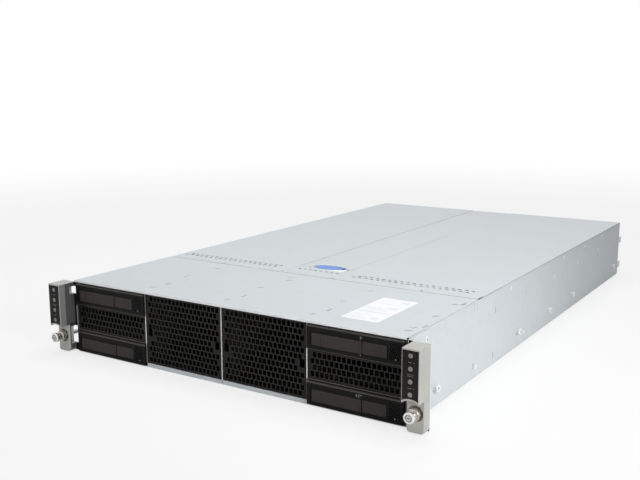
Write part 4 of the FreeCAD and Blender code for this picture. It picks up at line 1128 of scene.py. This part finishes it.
    # the face's outer ring is a painted highlight, and its sunk rings and middle are painted shade
    paintFaces(knob, "brightZincAndHighlight", lambda c, n: c.y < start + 1.3 and fromAxis(c) > 3.4)
    paintFaces(knob, "knobRecessShade", lambda c, n: c.y < start + 0.8 and (
        fromAxis(c) < 1.6 or 2.3 < fromAxis(c) < 3.4))


for side in sides:
    makeEar(side)
print("ears made")


# Rail studs, bracket screws, brackets and the marks on the side walls

sideDetails = {
    "studPlaces": (58.0, 289.0, 406.0, 508.0, 730.0),      # from the front edge
    "studHeight": 20.8,
    "stud": [(0, 0), (2.3, 0), (2.3, 3.2), (2.0, 3.6), (3.6, 3.6), (4.0, 3.9), (4.0, 5.0), (3.6, 5.4), (2.1, 5.4),
             (1.7, 5.1), (1.7, 4.4), (0, 4.4)],      # radius, distance from the wall
    "socket": (4.35, 1.66, 0.12),       # distance from the wall, radius, depth
    "screwPlace": 36.0,
    "screwHeights": (8.8, 76.2),
    "screw": [(0, 0), (3.0, 0), (3.0, 0.22), (2.5, 0.56), (1.4, 0.76), (0, 0.8)],
    "cross": (1.7, 0.3),
    "dimple": [(0, -0.3), (2.7, -0.3), (2.7, 0.02), (2.2, 0.2), (1.2, 0.38), (0, 0.42)],
    "dimples": [(165, 11.4), (266, 78.6), (316.5, 13.2), (430.7, 61.1), (470, 80), (536.5, 61.8), (568.8, 80),
                (643.7, 62.5), (662, 81)],
    "pits": [(155.5, 84.0), (155.5, 80.6), (155.5, 77.2), (162.5, 84.0), (162.5, 80.6), (162.5, 77.2), (591.4, 37.8),
             (591.4, 33.2)],
    "pitRadius": 0.8,
    "bracketSheet": 1.5,
    "bracketCorner": 3,
    "windows": ear["notch"][2:],        # level with the notches of the ear
    "windowReach": (10.3, 4.5),
    "wallGleam": (31, 57),
    "duct": (4, 149, 150, 1.25, 1.5),       # start, back, end, floor's lower and upper face
}


def makeSideDetails(side):
    look = sideDetails
    out, half = (1, 0, 0), sideWall
    seat = half + look["bracketSheet"]
    studs, screws, dimples, pits, sockets = (bmesh.new() for _ in range(5))
    reach, radius, deep = look["socket"]
    for y in look["studPlaces"]:
        addTurned(studs, look["stud"], (half, frontEdge + y, look["studHeight"]), out, 28)
        addRod(sockets, (half + reach, frontEdge + y, look["studHeight"]), out, radius, deep, 6)
    y = frontEdge + look["screwPlace"]
    for z in look["screwHeights"]:
        addTurned(screws, look["screw"], (seat, y, z), out, 24)
        for wide, tall in (look["cross"], look["cross"][::-1]):
            addBox(sockets, (seat + 0.5, y - wide, z - tall), (seat + 0.81, y + wide, z + tall))
    for y, z in look["dimples"]:
        addTurned(dimples, look["dimple"], (half, frontEdge + y, z), out, 20)
    for y, z in look["pits"]:
        addRod(pits, (half - 0.1, frontEdge + y, z), out, look["pitRadius"], 0.13, 8)

    # folded bracket behind the ear, open where the ear leaves a gap
    low, high = cornersOf("ear_brackets")
    reachX, reachY = look["windowReach"]
    flange = flatSheet((0, 2), low.y, (half, low.z), (high.x, high.z))
    leaf = flatSheet((1, 2), seat, (low.y + 0.01, low.z), (high.y, high.z))
    for z0, z1 in look["windows"]:
        openPatch(flange, (0, 2), low.y, (half, z0), (half + reachX, z1))
        openPatch(leaf, (1, 2), seat, (low.y, z0), (low.y + reachY, z1))
    thicken(flange, look["bracketSheet"])
    soften(leaf, [v for v in leaf.verts if v.co.y > high.y - touching], look["bracketCorner"], 5, "VERTICES")
    thicken(leaf, look["bracketSheet"] - 0.02)

    # front edge of the side wall: painted shade, but for a stretch of painted highlight
    edge = boxes([((half - 1.4, frontEdge - 0.12, 1.0), (half - 0.02, frontEdge + 0.3, trayHigh.z - 1.5))])
    base, crown = look["wallGleam"]
    gleam = boxes([((half - 0.95, frontEdge - 0.2, base), (half - 0.35, frontEdge + 0.1, crown))], 0.1, 1)
    for part, bm, slot, finish, stands in (
            ("studs", studs, "nickel", "brightZincAndHighlight", "chassis_fasteners"),
            ("bracketScrews", screws, "nickel", "brightZincAndHighlight", "chassis_fasteners"),
            # black discs in the stud sockets and black crosses on the screw heads: painted shade of their recesses
            ("recessShades", sockets, "black_steel", "plasticBlack", None),
            # the dimples are lighter than the wall they are pressed in: painted highlight
            ("dimples", dimples, "zinc_sheet", "brightZincAndHighlight", None),
            # the pits are grey discs: painted shade in them
            ("pits", pits, "zinc_sheet", "paintedShadeGrey", None),
            ("bracketLeaf", leaf, "zinc_sheet", "zincTop", "ear_brackets"),
            ("bracketFlange", flange, "zinc_sheet", "zincTop", "ear_brackets"),
            ("wallEdgeShade", edge, "black_steel", "blackSteel", None),
            ("wallGleam", gleam, "zinc_sheet", "paintedHighlight", None)):
        piece = newPiece(f"{side}_{part}", bm, "chassis", finish, stands, side)
        if part == "bracketFlange":
            # its front face is painted dark: painted shade between the ear and the chassis
            paintFaces(piece, "blackSteel", lambda c, n: n.y < -0.5)


def makeDuctShade():
    # dark sheets on the floor and back of the duct behind the perforated panels: painted shade
    low, high = cornersOf("centre_grille_left")
    start, back, end, base, floor = sideDetails["duct"]
    inner = -low.x - 1
    newPiece("ductShade", boxes([((-inner, frontEdge + start, base), (inner, frontEdge + end, floor)),
                                 ((-inner, frontEdge + back, base), (inner, frontEdge + end, high.z - 1))]),
             "chassis", "blackSteel")


for side in sides:
    makeSideDetails(side)
makeDuctShade()
print("side walls detailed")


# Release latches and handles of modules and supplies

latch = {
    "radius": 2.2,
    "pin": 1.0,
    "gap": 0.3,
    "ear": 1.5,
    "sheet": 2.0,
    "height": 9.0,
    "arm": 20.0,
    "tab": 7.0,
    "rib": (2.0, 1.7, 3, 0.45),     # first place, pitch, count, radius
}


def latchArm(x, base):
    # blue arm that leans to the left, with ribs for the finger
    look = latch
    y = rearEdge + look["radius"] + look["gap"]
    end, edge, tab = y + look["arm"], look["sheet"] / 2, look["tab"]
    bm = bmesh.new()
    addRod(bm, (x, y, base), (0, 0, 1), look["radius"], look["height"], 20, 0.35)
    outline = [(x + edge, y), (x - edge, y), (x - edge, end), (x - edge - tab, end + tab / 2),
               (x - edge - tab, end + tab / 2 + 2), (x + edge, end + 2)]
    addPrism(bm, [(u, v, base) for u, v in outline], (0, 0, look["height"]), 0.5, 3)
    first, pitch, count, radius = look["rib"]
    for i in range(count):
        across = first + i * pitch
        addRod(bm, (x - edge - across, end + across / 2 + 2.0, base + 1.5), (0, 0, 1), radius, look["height"] - 3, 8)
    return bm


def addLatchEars(bm, x, base):
    look = latch
    radius, gap, tall = look["radius"], look["gap"], look["height"]
    y = rearEdge + radius + gap
    addRod(bm, (x, y, base - 1.2), (0, 0, 1), look["pin"], tall + 2.4, 14, 0.2)
    for z in (base - gap - look["ear"], base + tall + gap):
        outline = [(x - radius, rearEdge, z), (x + radius, rearEdge, z)]
        addPrism(bm, outline + arcPoints((x, y, z), radius, 0, 180, 10, (0, 1)), (0, 0, look["ear"]), 0.2, 1)


def loopHandle(low, high, across, bar, radius, flat):
    # rounded loop; flat gives the axes of its outline, and across its two faces
    outline = []
    for inset, order in ((0, 1), (bar, -1)):
        u0, u1, v0, v1 = low[0] + inset, high[0] - inset, low[1], high[1] - inset
        r = radius - inset * 0.6
        points = [(u1, v0)]
        for centre, first in (((u1 - r, v1 - r), 0), ((u0 + r, v1 - r), 90)):
            points += [tuple(p) for p in arcPoints(centre, r, first, first + 90, 6, (0, 1))]
        outline += (points + [(u0, v0)])[::order]
    third = thirdAxis(flat)
    place, sweep = [], Vector((0, 0, 0))
    for u, v in outline:
        point = Vector((across[0],) * 3)
        point[flat[0]], point[flat[1]] = u, v
        place.append(point)
    sweep[third] = across[1] - across[0]
    bm = bmesh.new()
    addPrism(bm, place, sweep, bar * 0.3, 3)
    return bm


def addCavity(bm, low, high, long, opening, deep):
    # block whose rear face, at high, has an opening sunk into it
    x0, z0, x1, z1 = opening
    block = boxes([((low[0], high[1] - long, low[1]), high)])
    sinkHole(block, openPatch(block, (0, 2), high[1], (x0, z0), (x1, z1)), (0, -deep, 0))
    bmesh.ops.recalc_face_normals(block, faces=block.faces)
    mergeIn(bm, block)


# Compute modules, modelled at the origin's corner and copied to their four places

module = {
    "sheet": 1.0,
    "height": 40.65,
    "lip": 5.0,
    "lipStart": 62,
    "ribs": (70, 96, 5, 5, 24),     # start, pitch, count, width, distance from the sides
    "portWindows": ((6.0, 34.0), (39.0, 54.0), (59.0, 91.0)),
    "portHeights": (6.5, 21.5),
    "portDepth": 22,
    "exhaust": (6.0, 19.0, 22.0, 4, (27.65, 38.65)),      # start, width, pitch, count, heights
    "exhaustHoles": (6, 4, 0.9, 0.5),       # columns, rows, web, corner
    "slotCover": (97.0, 160.0, 23.5, 35.5),
    "slotDepth": 0.5,
    "slotHoles": (13, 2, 1.1, 0.5),
    "slotField": ((101.0, 25.5), (150.0, 33.5)),
    "screws": ((155.0, 29.5, 0.5), (98.5, 30.0, 0.5), (172.25, 30.0, 0.1), (172.25, 20.0, 0.1)),      # place, depth
    "screw": [(0, 0), (2.2, 0), (2.2, 0.5), (1.6, 0.9), (0.6, 1.0), (0.6, 0.6), (0, 0.6)],
    "handle": (136.25, 176.25, 38.0, 3.0, 7.0, 5.0, 15.0),      # left, right, reach, bar, corner, heights
    "latch": (127.25, 6.5),
    "board": (6.0, 171.25, -93.5, 384.2, 5.5, 7.1),
    "standoffs": (9, 9, 42),        # from the sides, the front and the rear
    "ceiling": 37.85,
    "coolers": (187.47, -8.77),
    "coolerSide": 90.0,
    "coolerBase": 4.0,
    "fins": (28, 0.6),
    "memoryStarts": (165.97, -30.27),
    "memoryLength": 133.0,
    "memorySteps": (-68.5, -52.5, 52.5, 68.5),      # from the middle
    "memorySlot": (3.0, 6.0),       # half width, height
    "memoryTower": (2.2, 5.0, 16.0),        # half width, length, height
    "memoryChips": (8.0, 13.3, 10.2, 9),        # start, pitch, length, count
    "chokes": (9, 10),      # count and pitch beside each cooler
    "choke": (3.6, 12.5, 4.5, 6.5),     # half width, back and front edge ahead of the cooler, height
    "can": (97.5, 3.1, 9.0),        # behind the cooler's front, radius, height
    "inputCan": (3.4, 10.5),        # radius, height
    "socketHalf": 22.5,
    "packages": [       # place, size and height of the board's smaller parts
        (118, 330, 26, 26, 2.4), (70, 332, 16, 16, 1.6), (96, 345, 12, 12, 1.4), (150, 340, 10, 14, 1.4),
        (24, 335, 14, 10, 1.4), (44, 152, 12, 8, 1.2), (120, 150, 14, 14, 1.6), (88, -78, 30, 12, 2.0),
        (34, -72, 52, 6, 9.5), (140, -72, 46, 6, 9.5), (132, 372, 44, 8, 11.0), (20, 152, 8, 12, 1.2),
    ],
    "inputCans": (60, 68, 76, 84, 92, 100, 108),
    "cell": (52, 330, 10.0, 3.2),       # place, radius and height of the coin cell
    "fans": (38.05, -173.5, -117.5, 17.5, 7.0),     # side, start, end, radii of bore and hub
    "blades": (7, 38, 9.2, 0.9),        # count, twist, length, thickness
}


def moduleShell(wide, start):
    look = module
    sheet, tall, end = look["sheet"], look["height"], rearEdge - 0.2
    bm = boxes([((0, start, 0), (wide, end, sheet))], 0.3, 1)
    first, pitch, count, deep, inset = look["ribs"]
    for y in (start + first + i * pitch for i in range(count)):
        addBox(bm, (inset, y, sheet - 0.2), (wide - inset, y + deep, sheet + 1.0), 0.8)
    for x, lip in ((0, sheet), (wide - sheet, wide - sheet - look["lip"])):
        addBox(bm, (x, start, 0.3), (x + sheet, end, tall), 0.3, 1)
        addBox(bm, (lip - 0.3, start + look["lipStart"], tall - sheet),
               (lip + look["lip"] + 0.3, rearEdge - 1, tall), 0.3, 1)
    face = (0, 2)
    panel = flatSheet((2, 0), rearEdge, (0, 0), (tall, wide))
    z0, z1 = look["portHeights"]
    for x0, x1 in look["portWindows"]:
        openPatch(panel, face, rearEdge, (x0 - 0.3, z0 - 0.3), (x1 + 0.3, z1 + 0.3))
    left, w, pitch, count, (z0, z1) = look["exhaust"]
    for x in (left + i * pitch for i in range(count)):
        perforate(panel, face, rearEdge, (x, z0), (x + w, z1), *look["exhaustHoles"])
    x0, x1, z0, z1 = look["slotCover"]
    pocket(panel, face, rearEdge, (x0, z0), (x1, z1), (0, -look["slotDepth"], 0))
    perforate(panel, face, rearEdge - look["slotDepth"], *look["slotField"], *look["slotHoles"])
    faceTowards(panel, (0, 1, 0))
    thicken(panel, sheet)
    mergeIn(bm, panel)
    addLatchEars(bm, *look["latch"])
    for x, z, deep in look["screws"]:
        addTurned(bm, look["screw"], (x, rearEdge - deep, z), (0, 1, 0), 18)
    return bm


def modulePorts():
    look = module
    rear, long = rearEdge, look["portDepth"]
    z0, z1 = look["board"][5], look["portHeights"][1]
    (n0, n1), (u0, u1), (d0, d1) = look["portWindows"]
    shells, blue = bmesh.new(), bmesh.new()
    for x0, x1 in ((n0, (n0 + n1) / 2 - 0.2), ((n0 + n1) / 2 + 0.2, n1)):
        addCavity(shells, (x0, z0), (x1, rear, z1), long, (x0 + 1.2, z0 + 3.2, x1 - 1.2, z1 - 1.6), 12)
        middle = (x0 + x1) / 2
        addBox(shells, (middle - 2.6, rear - 11, z0 + 1.6), (middle + 2.6, rear - 0.3, z0 + 3.4))
    half = (z0 + z1) / 2
    for low, high in ((z0, half - 0.1), (half + 0.1, z1)):
        addCavity(shells, (u0, low), (u1, rear, high), long, (u0 + 0.9, low + 0.9, u1 - 0.9, high - 0.9), 10)
        addBox(blue, (u0 + 1.6, rear - 9, high - 2.9), (u1 - 1.6, rear - 0.6, high - 1.6))
    addCavity(shells, (d0, z0), (d1, rear, z1), long, (d0 + 6.4, z0 + 2.9, d1 - 6.4, z1 - 2.9), 6)
    outline = [(d0 + 7.4, z1 - 3.6), (d1 - 7.4, z1 - 3.6), (d1 - 8.8, z0 + 3.6), (d0 + 8.8, z0 + 3.6)]
    addPrism(blue, [(x, rear - 6, z) for x, z in outline], (0, 5.2, 0), 0.4)
    for x in (d0 + 3.2, d1 - 3.2):
        addRod(shells, (x, rear - 0.5, half), (0, 1, 0), 2.3, 2.6, 6, 0.3)
    return shells, blue


def modulePlaces():
    # standoffs, memory modules and the level of the board's top
    look = module
    x0, x1, y0, y1, _, top = look["board"]
    side, front, rear = look["standoffs"]
    posts = [(x, y) for x in (x0 + side, x1 - side) for y in (y0 + front, y1 - rear)]
    memory = [[((x0 + x1) / 2 + step, start) for step in look["memorySteps"]] for start in look["memoryStarts"]]
    return posts, memory, top


def moduleBoard():
    look = module
    x0, x1, y0, y1, base, top = look["board"]
    posts, memory, _ = modulePlaces()
    bm = boxes([((x0, y0, base), (x1, y1, top))], 0.15, 1)
    for x, y in posts:
        addRod(bm, (x, y, 1.0), (0, 0, 1), 3.0, base - 0.95, 6)
    for x, start in memory[0] + memory[1]:
        addBox(bm, (x - 0.65, start + 1, top + 3), (x + 0.65, start + look["memoryLength"] - 1, look["ceiling"] - 0.3),
               0.2, 1)
    return bm


def moduleParts():
    # black packages, slots and sockets; silver cans, chokes and screws; gold edge contacts
    look = module
    posts, memory, top = modulePlaces()
    seat, up, long = top - 0.05, (0, 0, 1), look["memoryLength"]
    middle = (look["board"][0] + look["board"][1]) / 2
    first, pitch, chip, chips = look["memoryChips"]
    (slot, slotTall), (tower, deep, towerTall) = look["memorySlot"], look["memoryTower"]
    half, behind, ahead, chokeTall = look["choke"]
    canPlace, *can = look["can"]
    socket, centre = look["socketHalf"], look["coolerSide"] / 2
    black, bright, gold = bmesh.new(), bmesh.new(), bmesh.new()
    for row, cooler in zip(memory, look["coolers"]):
        for x, start in row:
            addBox(black, (x - slot, start, seat), (x + slot, start + long, top + slotTall), 0.5, 1)
            for y in (start, start + long - deep):
                addBox(black, (x - tower, y, top + slotTall - 0.5), (x + tower, y + deep, top + towerTall), 0.8)
            addBox(gold, (x - 0.72, start + 7, top + slotTall - 0.1), (x + 0.72, start + long - 7, top + slotTall + 2))
            for y in (start + first + i * pitch for i in range(chips)):
                addBox(black, (x - 1.45, y, top + 12.5), (x + 1.45, y + chip, top + 24.5), 0.15, 1)
        count, step = look["chokes"]
        for x in (middle + (i - (count - 1) / 2) * step for i in range(count)):
            addBox(bright, (x - half, cooler - behind, seat), (x + half, cooler - ahead, top + chokeTall), 0.8)
            addRod(bright, (x, cooler + canPlace, seat), up, *can, 16, 0.5)
        addBox(black, (middle - socket, cooler + centre - socket, seat),
               (middle + socket, cooler + centre + socket, top + 5.1), 0.6)
    for x, y, wide, deep, tall in look["packages"]:
        addBox(black, (x - wide / 2, y - deep / 2, seat), (x + wide / 2, y + deep / 2, top + tall), 0.4, 1)
    for x in look["inputCans"]:
        addRod(bright, (x, -62, seat), up, *look["inputCan"], 16, 0.5)
    x, y, radius, tall = look["cell"]
    addRod(bright, (x, y, top + 1.0), up, radius, tall, 32, 0.4)
    addBox(black, (x - 11, y - 11, seat), (x + 11, y + 11, top + 1.4), 0.5, 1)
    for x, y in posts:
        addRod(bright, (x, y, seat), up, 3.0, 1.6, 6, 0.3)
    return black, bright, gold


def moduleCoolers():
    look = module
    side, top, (count, fin) = look["coolerSide"], look["ceiling"], look["fins"]
    left = (look["board"][0] + look["board"][1] - side) / 2
    base = look["board"][5] + 5.0
    floor = base + look["coolerBase"]
    bm = bmesh.new()
    for y in look["coolers"]:
        addBox(bm, (left, y, base), (left + side, y + side, floor), 0.5)
        for x in (left + i * (side - fin) / (count - 1) for i in range(count)):
            addBox(bm, (x, y + 1, floor - 0.1), (x + fin, y + side - 1, top - 0.4))
        for strip in (y + 20, y + side - 21.2):
            addBox(bm, (left, strip, top - 0.9), (left + side, strip + 1.2, top))
    return bm


def moduleFans(wide):
    side, start, end, bore, hub = module["fans"]
    count, twist, long, thick = module["blades"]
    half, z = side / 2, module["sheet"] + side / 2
    bm = bmesh.new()
    for x in (wide / 3 * (i + 0.5) for i in range(3)):
        case = boxes([((x - half, start, z - half), (x + half, end, z + half))])
        soften(case, [e for e in case.edges if lengthAlong(e, 1) > 1], 2.0, 4)
        rims = [openOval(case, (0, 2), y, (x, z), (bore, bore), 0.4) for y in (start, end)]
        bmesh.ops.bridge_loops(case, edges=rims[0] + rims[1])
        bmesh.ops.recalc_face_normals(case, faces=case.faces)
        mergeIn(bm, case)
        addTurned(bm, [(0, 1.0), (hub - 1.5, 1.0), (hub, 2.5), (hub, 52.0), (0, 52.0)], (x, start, z), (0, 1, 0), 24)
        addSpokes(bm, (-long / 2, -thick / 2, hub - 0.5), (long / 2, thick / 2, bore - 0.7), 0.3,
                  (x, start + 9, z), count, twist=twist)
        addSpokes(bm, (-0.9, -1.2, hub - 0.4), (0.9, 1.2, bore + 0.6), 0.3, (x, end - 3, z), 4, 45)
    return bm


def makeModules():
    low, high = cornersOf("module_lower_left_tray")
    wide = high.x - low.x
    shells, blue = modulePorts()
    black, bright, gold = moduleParts()
    x0, x1, reach, bar, corner, z0, z1 = module["handle"]
    handle = loopHandle((x0, rearEdge - 0.1), (x1, rearEdge + reach), (z0, z1), bar, corner, (0, 1))
    kinds = [
        ("shell", moduleShell(wide, low.y), "inner_sheet", "zincInner", "tray"),
        ("pull", handle, "nickel", "brightZincAndHighlight", "tray"),
        ("connectors", shells, "nickel", "nickelPlate", "electronics"),
        ("blueParts", blue, "circuit_board", "connectorBlue", "electronics"),
        ("mainBoard", moduleBoard(), "circuit_board", "boardGreen", "electronics"),
        ("packages", black, "circuit_board", "plasticBlack", "electronics"),
        ("cans", bright, "nickel", "nickelPlate", "electronics"),
        ("contacts", gold, "nickel", "goldContact", "electronics"),
        ("coolers", moduleCoolers(), "nickel", "finAlloy", "electronics"),
        ("fans", moduleFans(wide), "circuit_board", "plasticBlack", "electronics"),
        ("latchArm", latchArm(*module["latch"]), "latch_colour", "padBlue", "latch"),
    ]
    for name in (f"module_{level}_{side}" for level in ("lower", "upper") for side in sides):
        low = cornersOf(name + "_tray")[0]
        for part, shape, slot, finish, node in kinds:
            bm = shape.copy()
            bm.transform(Matrix.Translation((low.x, 0, low.z)))
            body = name + "_latch_arm" if part == "latchArm" else name
            piece = newPiece(f"{name}_{part}", bm, body, finish, f"{name}_{node}")
            if part == "connectors":
                paintFaces(piece, "plasticBlack", lambda c, n: c.y < rearEdge - 1)
    for _, shape, *_ in kinds:
        shape.free()


makeModules()
print("modules made")


# Power supplies

supply = {
    "height": 40.0,
    "inlet": (-32.75, -4.75, 10.0, 18.0),      # left, right, half height, depth
    "insert": (0.4, 17, 3.0, 6.8, 15),      # gap, length, border and half height of the opening, its depth
    "fan": (17.35, 17.0, 16.0, 7.5),        # middle, mouth radius, depth, hub radius
    "blades": (9, -40, 7.2, 0.8),       # count, twist, length, thickness
    "loop": (-3.25, -0.25, 15.0, 22.0, 5.0, 8.0),       # left, right, half height, reach, bar, corner
    "latchX": 34.55,
    "tongue": (50.0, 8.0, 1.6),
    "tongueHeight": 11.5,       # above the supply's underside
    "fingers": (16, 3, 2),      # count, pitch, width
    "pins": ((-5.5, -1.5), (5.5, -1.5), (0, 2.6)),
    "guardRings": (4.5, 9.0, 13.2, 16.2),
    "guardWire": 0.45,
    "lamp": (-30.5, 5.5),
    "slots": (30, 34, 6, 18),       # start, pitch, count, length
}


def makeSupply(level):
    look = supply
    name = f"supply_{level}"
    unit = name + "_unit"
    low, high = cornersOf(name)
    tongueWide, tongueLong, tongueThick = look["tongue"]
    start, base, top, rear = low.y + tongueLong, low.z, low.z + look["height"], rearEdge
    middle = (base + top) / 2
    latchBase = middle - latch["height"] / 2
    case = boxes([((low.x, start, base), (high.x, rear, top))])
    x0, x1, halfTall, deep = look["inlet"]
    sinkHole(case, openPatch(case, (0, 2), rear, (x0, middle - halfTall), (x1, middle + halfTall)), (0, -deep, 0))
    fanX, mouth, sink, hub = look["fan"]
    sinkHole(case, openOval(case, (0, 2), rear, (fanX, middle), (mouth, mouth), 0.6, 40), (0, -sink, 0))
    perforate(case, (0, 2), start, (low.x + 5, base + 22), (high.x - 5, top - 4), 18, 4, 1.1, sink=1.2)
    bmesh.ops.recalc_face_normals(case, faces=case.faces)
    walls = ((0, low.x), (0, high.x), (1, start), (1, rear), (2, base), (2, top))
    soften(case, [e for e in case.edges if bends(e, 1) and sum(onPlane(e, *wall) for wall in walls) == 2], 0.5)
    bm = bmesh.new()
    mergeIn(bm, case)
    addLatchEars(bm, look["latchX"], latchBase)
    first, pitch, count, long = look["slots"]
    for y in (start + first + i * pitch for i in range(count)):
        for x in (low.x, high.x):
            addBox(bm, (x - 0.04, y, middle - 9), (x + 0.04, y + long, middle - 7.5))
    shell = newPiece(name + "_case", bm, unit, "caseSteel", name)
    paintFaces(shell, "plasticBlack", lambda c, n: rear - 19 < c.y < rear - 0.3 and abs(c.x) < high.x - 1.5
               and base + 1 < c.z < top - 1)

    # inlet insert and rotor, pins, wire guard, handle and lamp
    gap, long, border, half, sunk = look["insert"]
    count, twist, wide, thick = look["blades"]
    rotor, pins, guard, lamp = (bmesh.new() for _ in range(4))
    addCavity(rotor, (x0 + gap, middle - halfTall + gap), (x1 - gap, rear - gap, middle + halfTall - gap), long,
              (x0 + border, middle - half, x1 - border, middle + half), sunk)
    addTurned(rotor, [(0, 2.0), (hub - 1.6, 2.0), (hub, 3.6), (hub, sink), (0, sink)], (fanX, rear, middle),
              (0, -1, 0), 28)
    addSpokes(rotor, (-wide / 2, -thick / 2, hub - 0.4), (wide / 2, thick / 2, mouth - 0.8), 0.25,
              (fanX, rear - 8, middle), count, twist=twist)
    for u, w in look["pins"]:
        x, z = (x0 + x1) / 2 + u, middle + w
        addBox(pins, (x - 0.9, rear - 15.5, z - 2.0), (x + 0.9, rear - 3.0, z + 2.0), 0.4)
    wire, hoop = look["guardWire"], (fanX, rear + 0.1, middle)
    for radius in look["guardRings"]:
        addTurned(guard, [(radius - wire, 0), (radius, 0.4), (radius + wire, 0), (radius, -0.4)], hoop, (0, 1, 0), 36,
                  ring=True)
    for turn in (math.radians(angle) for angle in (45, 135, 225, 315)):
        addRod(guard, hoop, (math.cos(turn), 0, math.sin(turn)), 0.5, mouth + 1.0, 8)
    h0, h1, span, reach, bar, corner = look["loop"]
    loop = loopHandle((middle - span, rear - 0.1), (middle + span, rear + reach), (h0, h1), bar, corner, (2, 1))
    lampX, drop = look["lamp"]
    addRod(lamp, (lampX, rear - 0.3, top - drop), (0, 1, 0), 1.4, 0.9, 16, 0.3)

    # edge connector with its contact fingers
    z, half = base + look["tongueHeight"], tongueWide / 2
    tongue = boxes([((-half, low.y, z), (half, start + 0.5, z + tongueThick))], 0.2, 1)
    count, pitch, wide = look["fingers"]
    lefts = [2 - half + i * pitch for i in range(count)]
    fingers = boxes([((x, low.y + 0.8, z - 0.05), (x + wide, start, z + tongueThick + 0.05)) for x in lefts])
    for part, bm, slot, finish in (
            ("blackParts", rotor, "supply_case", "plasticBlack"),
            ("pins", pins, "nickel", "nickelPlate"),
            ("fanGuard", guard, "nickel", "nickelPlate"),
            ("loop", loop, "supply_case", "plasticBlack"),
            ("lamp", lamp, "supply_case", "lampGreen"),
            ("tongue", tongue, "circuit_board", "boardGreen"),
            ("fingers", fingers, "nickel", "goldContact")):
        newPiece(f"{name}_{part}", bm, unit, finish)
    newPiece(name + "_latchArm", latchArm(look["latchX"], latchBase), name + "_latch_arm", "padBlue",
             name + "_latch")


for level in ("lower", "upper"):
    makeSupply(level)
print("supplies made")


# Drives on their carriers

drive = {
    "lidInset": 8.0,
    "lidDepth": 1.0,
    "corner": 1.5,
    "lidCorner": 5,
    "sideScrews": (20, 62, 104),
    "screws": ((12, 12), (89.6, 12), (12, 70), (89.6, 70), (12, 134), (89.6, 134), (50.8, 74)),
    "screw": [(0, 0), (2.6, 0), (2.6, 0.15), (2.2, 0.25), (0.9, 0.25), (0.9, 0.1), (0, 0.1)],
    "label": (22, 84, 80, 128),
    "socket": (8, 52, 7.5, 4.5),        # left, right, length, depth
}


def makeDrive(name):
    look = drive
    low, high = cornersOf(name + "_drive")
    level, seat = high.z, high.z - 0.27
    bm = boxes([(low, (high.x, high.y, level - look["lidDepth"]))])
    soften(bm, [e for e in bm.edges if lengthAlong(e, 2) > 1], look["corner"], 4)
    for x in (low.x, high.x):
        for y in look["sideScrews"]:
            addRod(bm, (x - 0.05, low.y + y, low.z + 6), (1, 0, 0), 2.0, 0.1, 16)
    newPiece(name + "_driveBody", bm, name, "castAlloy", name + "_drive")
    inset = look["lidInset"]
    bm = boxes([((low.x + inset / 2, low.y + inset / 2, level - look["lidDepth"] - 0.1),
                 (high.x - inset / 2, high.y - inset, level - 0.25))])
    soften(bm, [e for e in bm.edges if lengthAlong(e, 2) > 0.5], look["lidCorner"], 5)
    soften(bm, [e for e in sharpEdges(bm) if all(v.co.z > level - 0.3 for v in e.verts)], 0.3)
    for x, y in look["screws"]:
        addTurned(bm, look["screw"], (low.x + x, low.y + y, seat), (0, 0, 1), 18)
    newPiece(name + "_driveLid", bm, name, "caseSteel", name + "_drive")
    x0, y0, x1, y1 = look["label"]
    newPiece(name + "_driveLabel", boxes([((low.x + x0, low.y + y0, seat), (low.x + x1, low.y + y1, level - 0.18))]),
             name, "labelPaper")
    x0, x1, long, deep = look["socket"]
    newPiece(name + "_driveSocket", boxes([((low.x + x0, high.y - long, level - deep),
                                            (low.x + x1, high.y - 0.1, level - 0.4))], 0.4),
             name, "plasticBlack")


for row in ("bottom", "top"):
    for side in sides:
        makeDrive(f"carrier_{row}_{side}")
print("drives made")
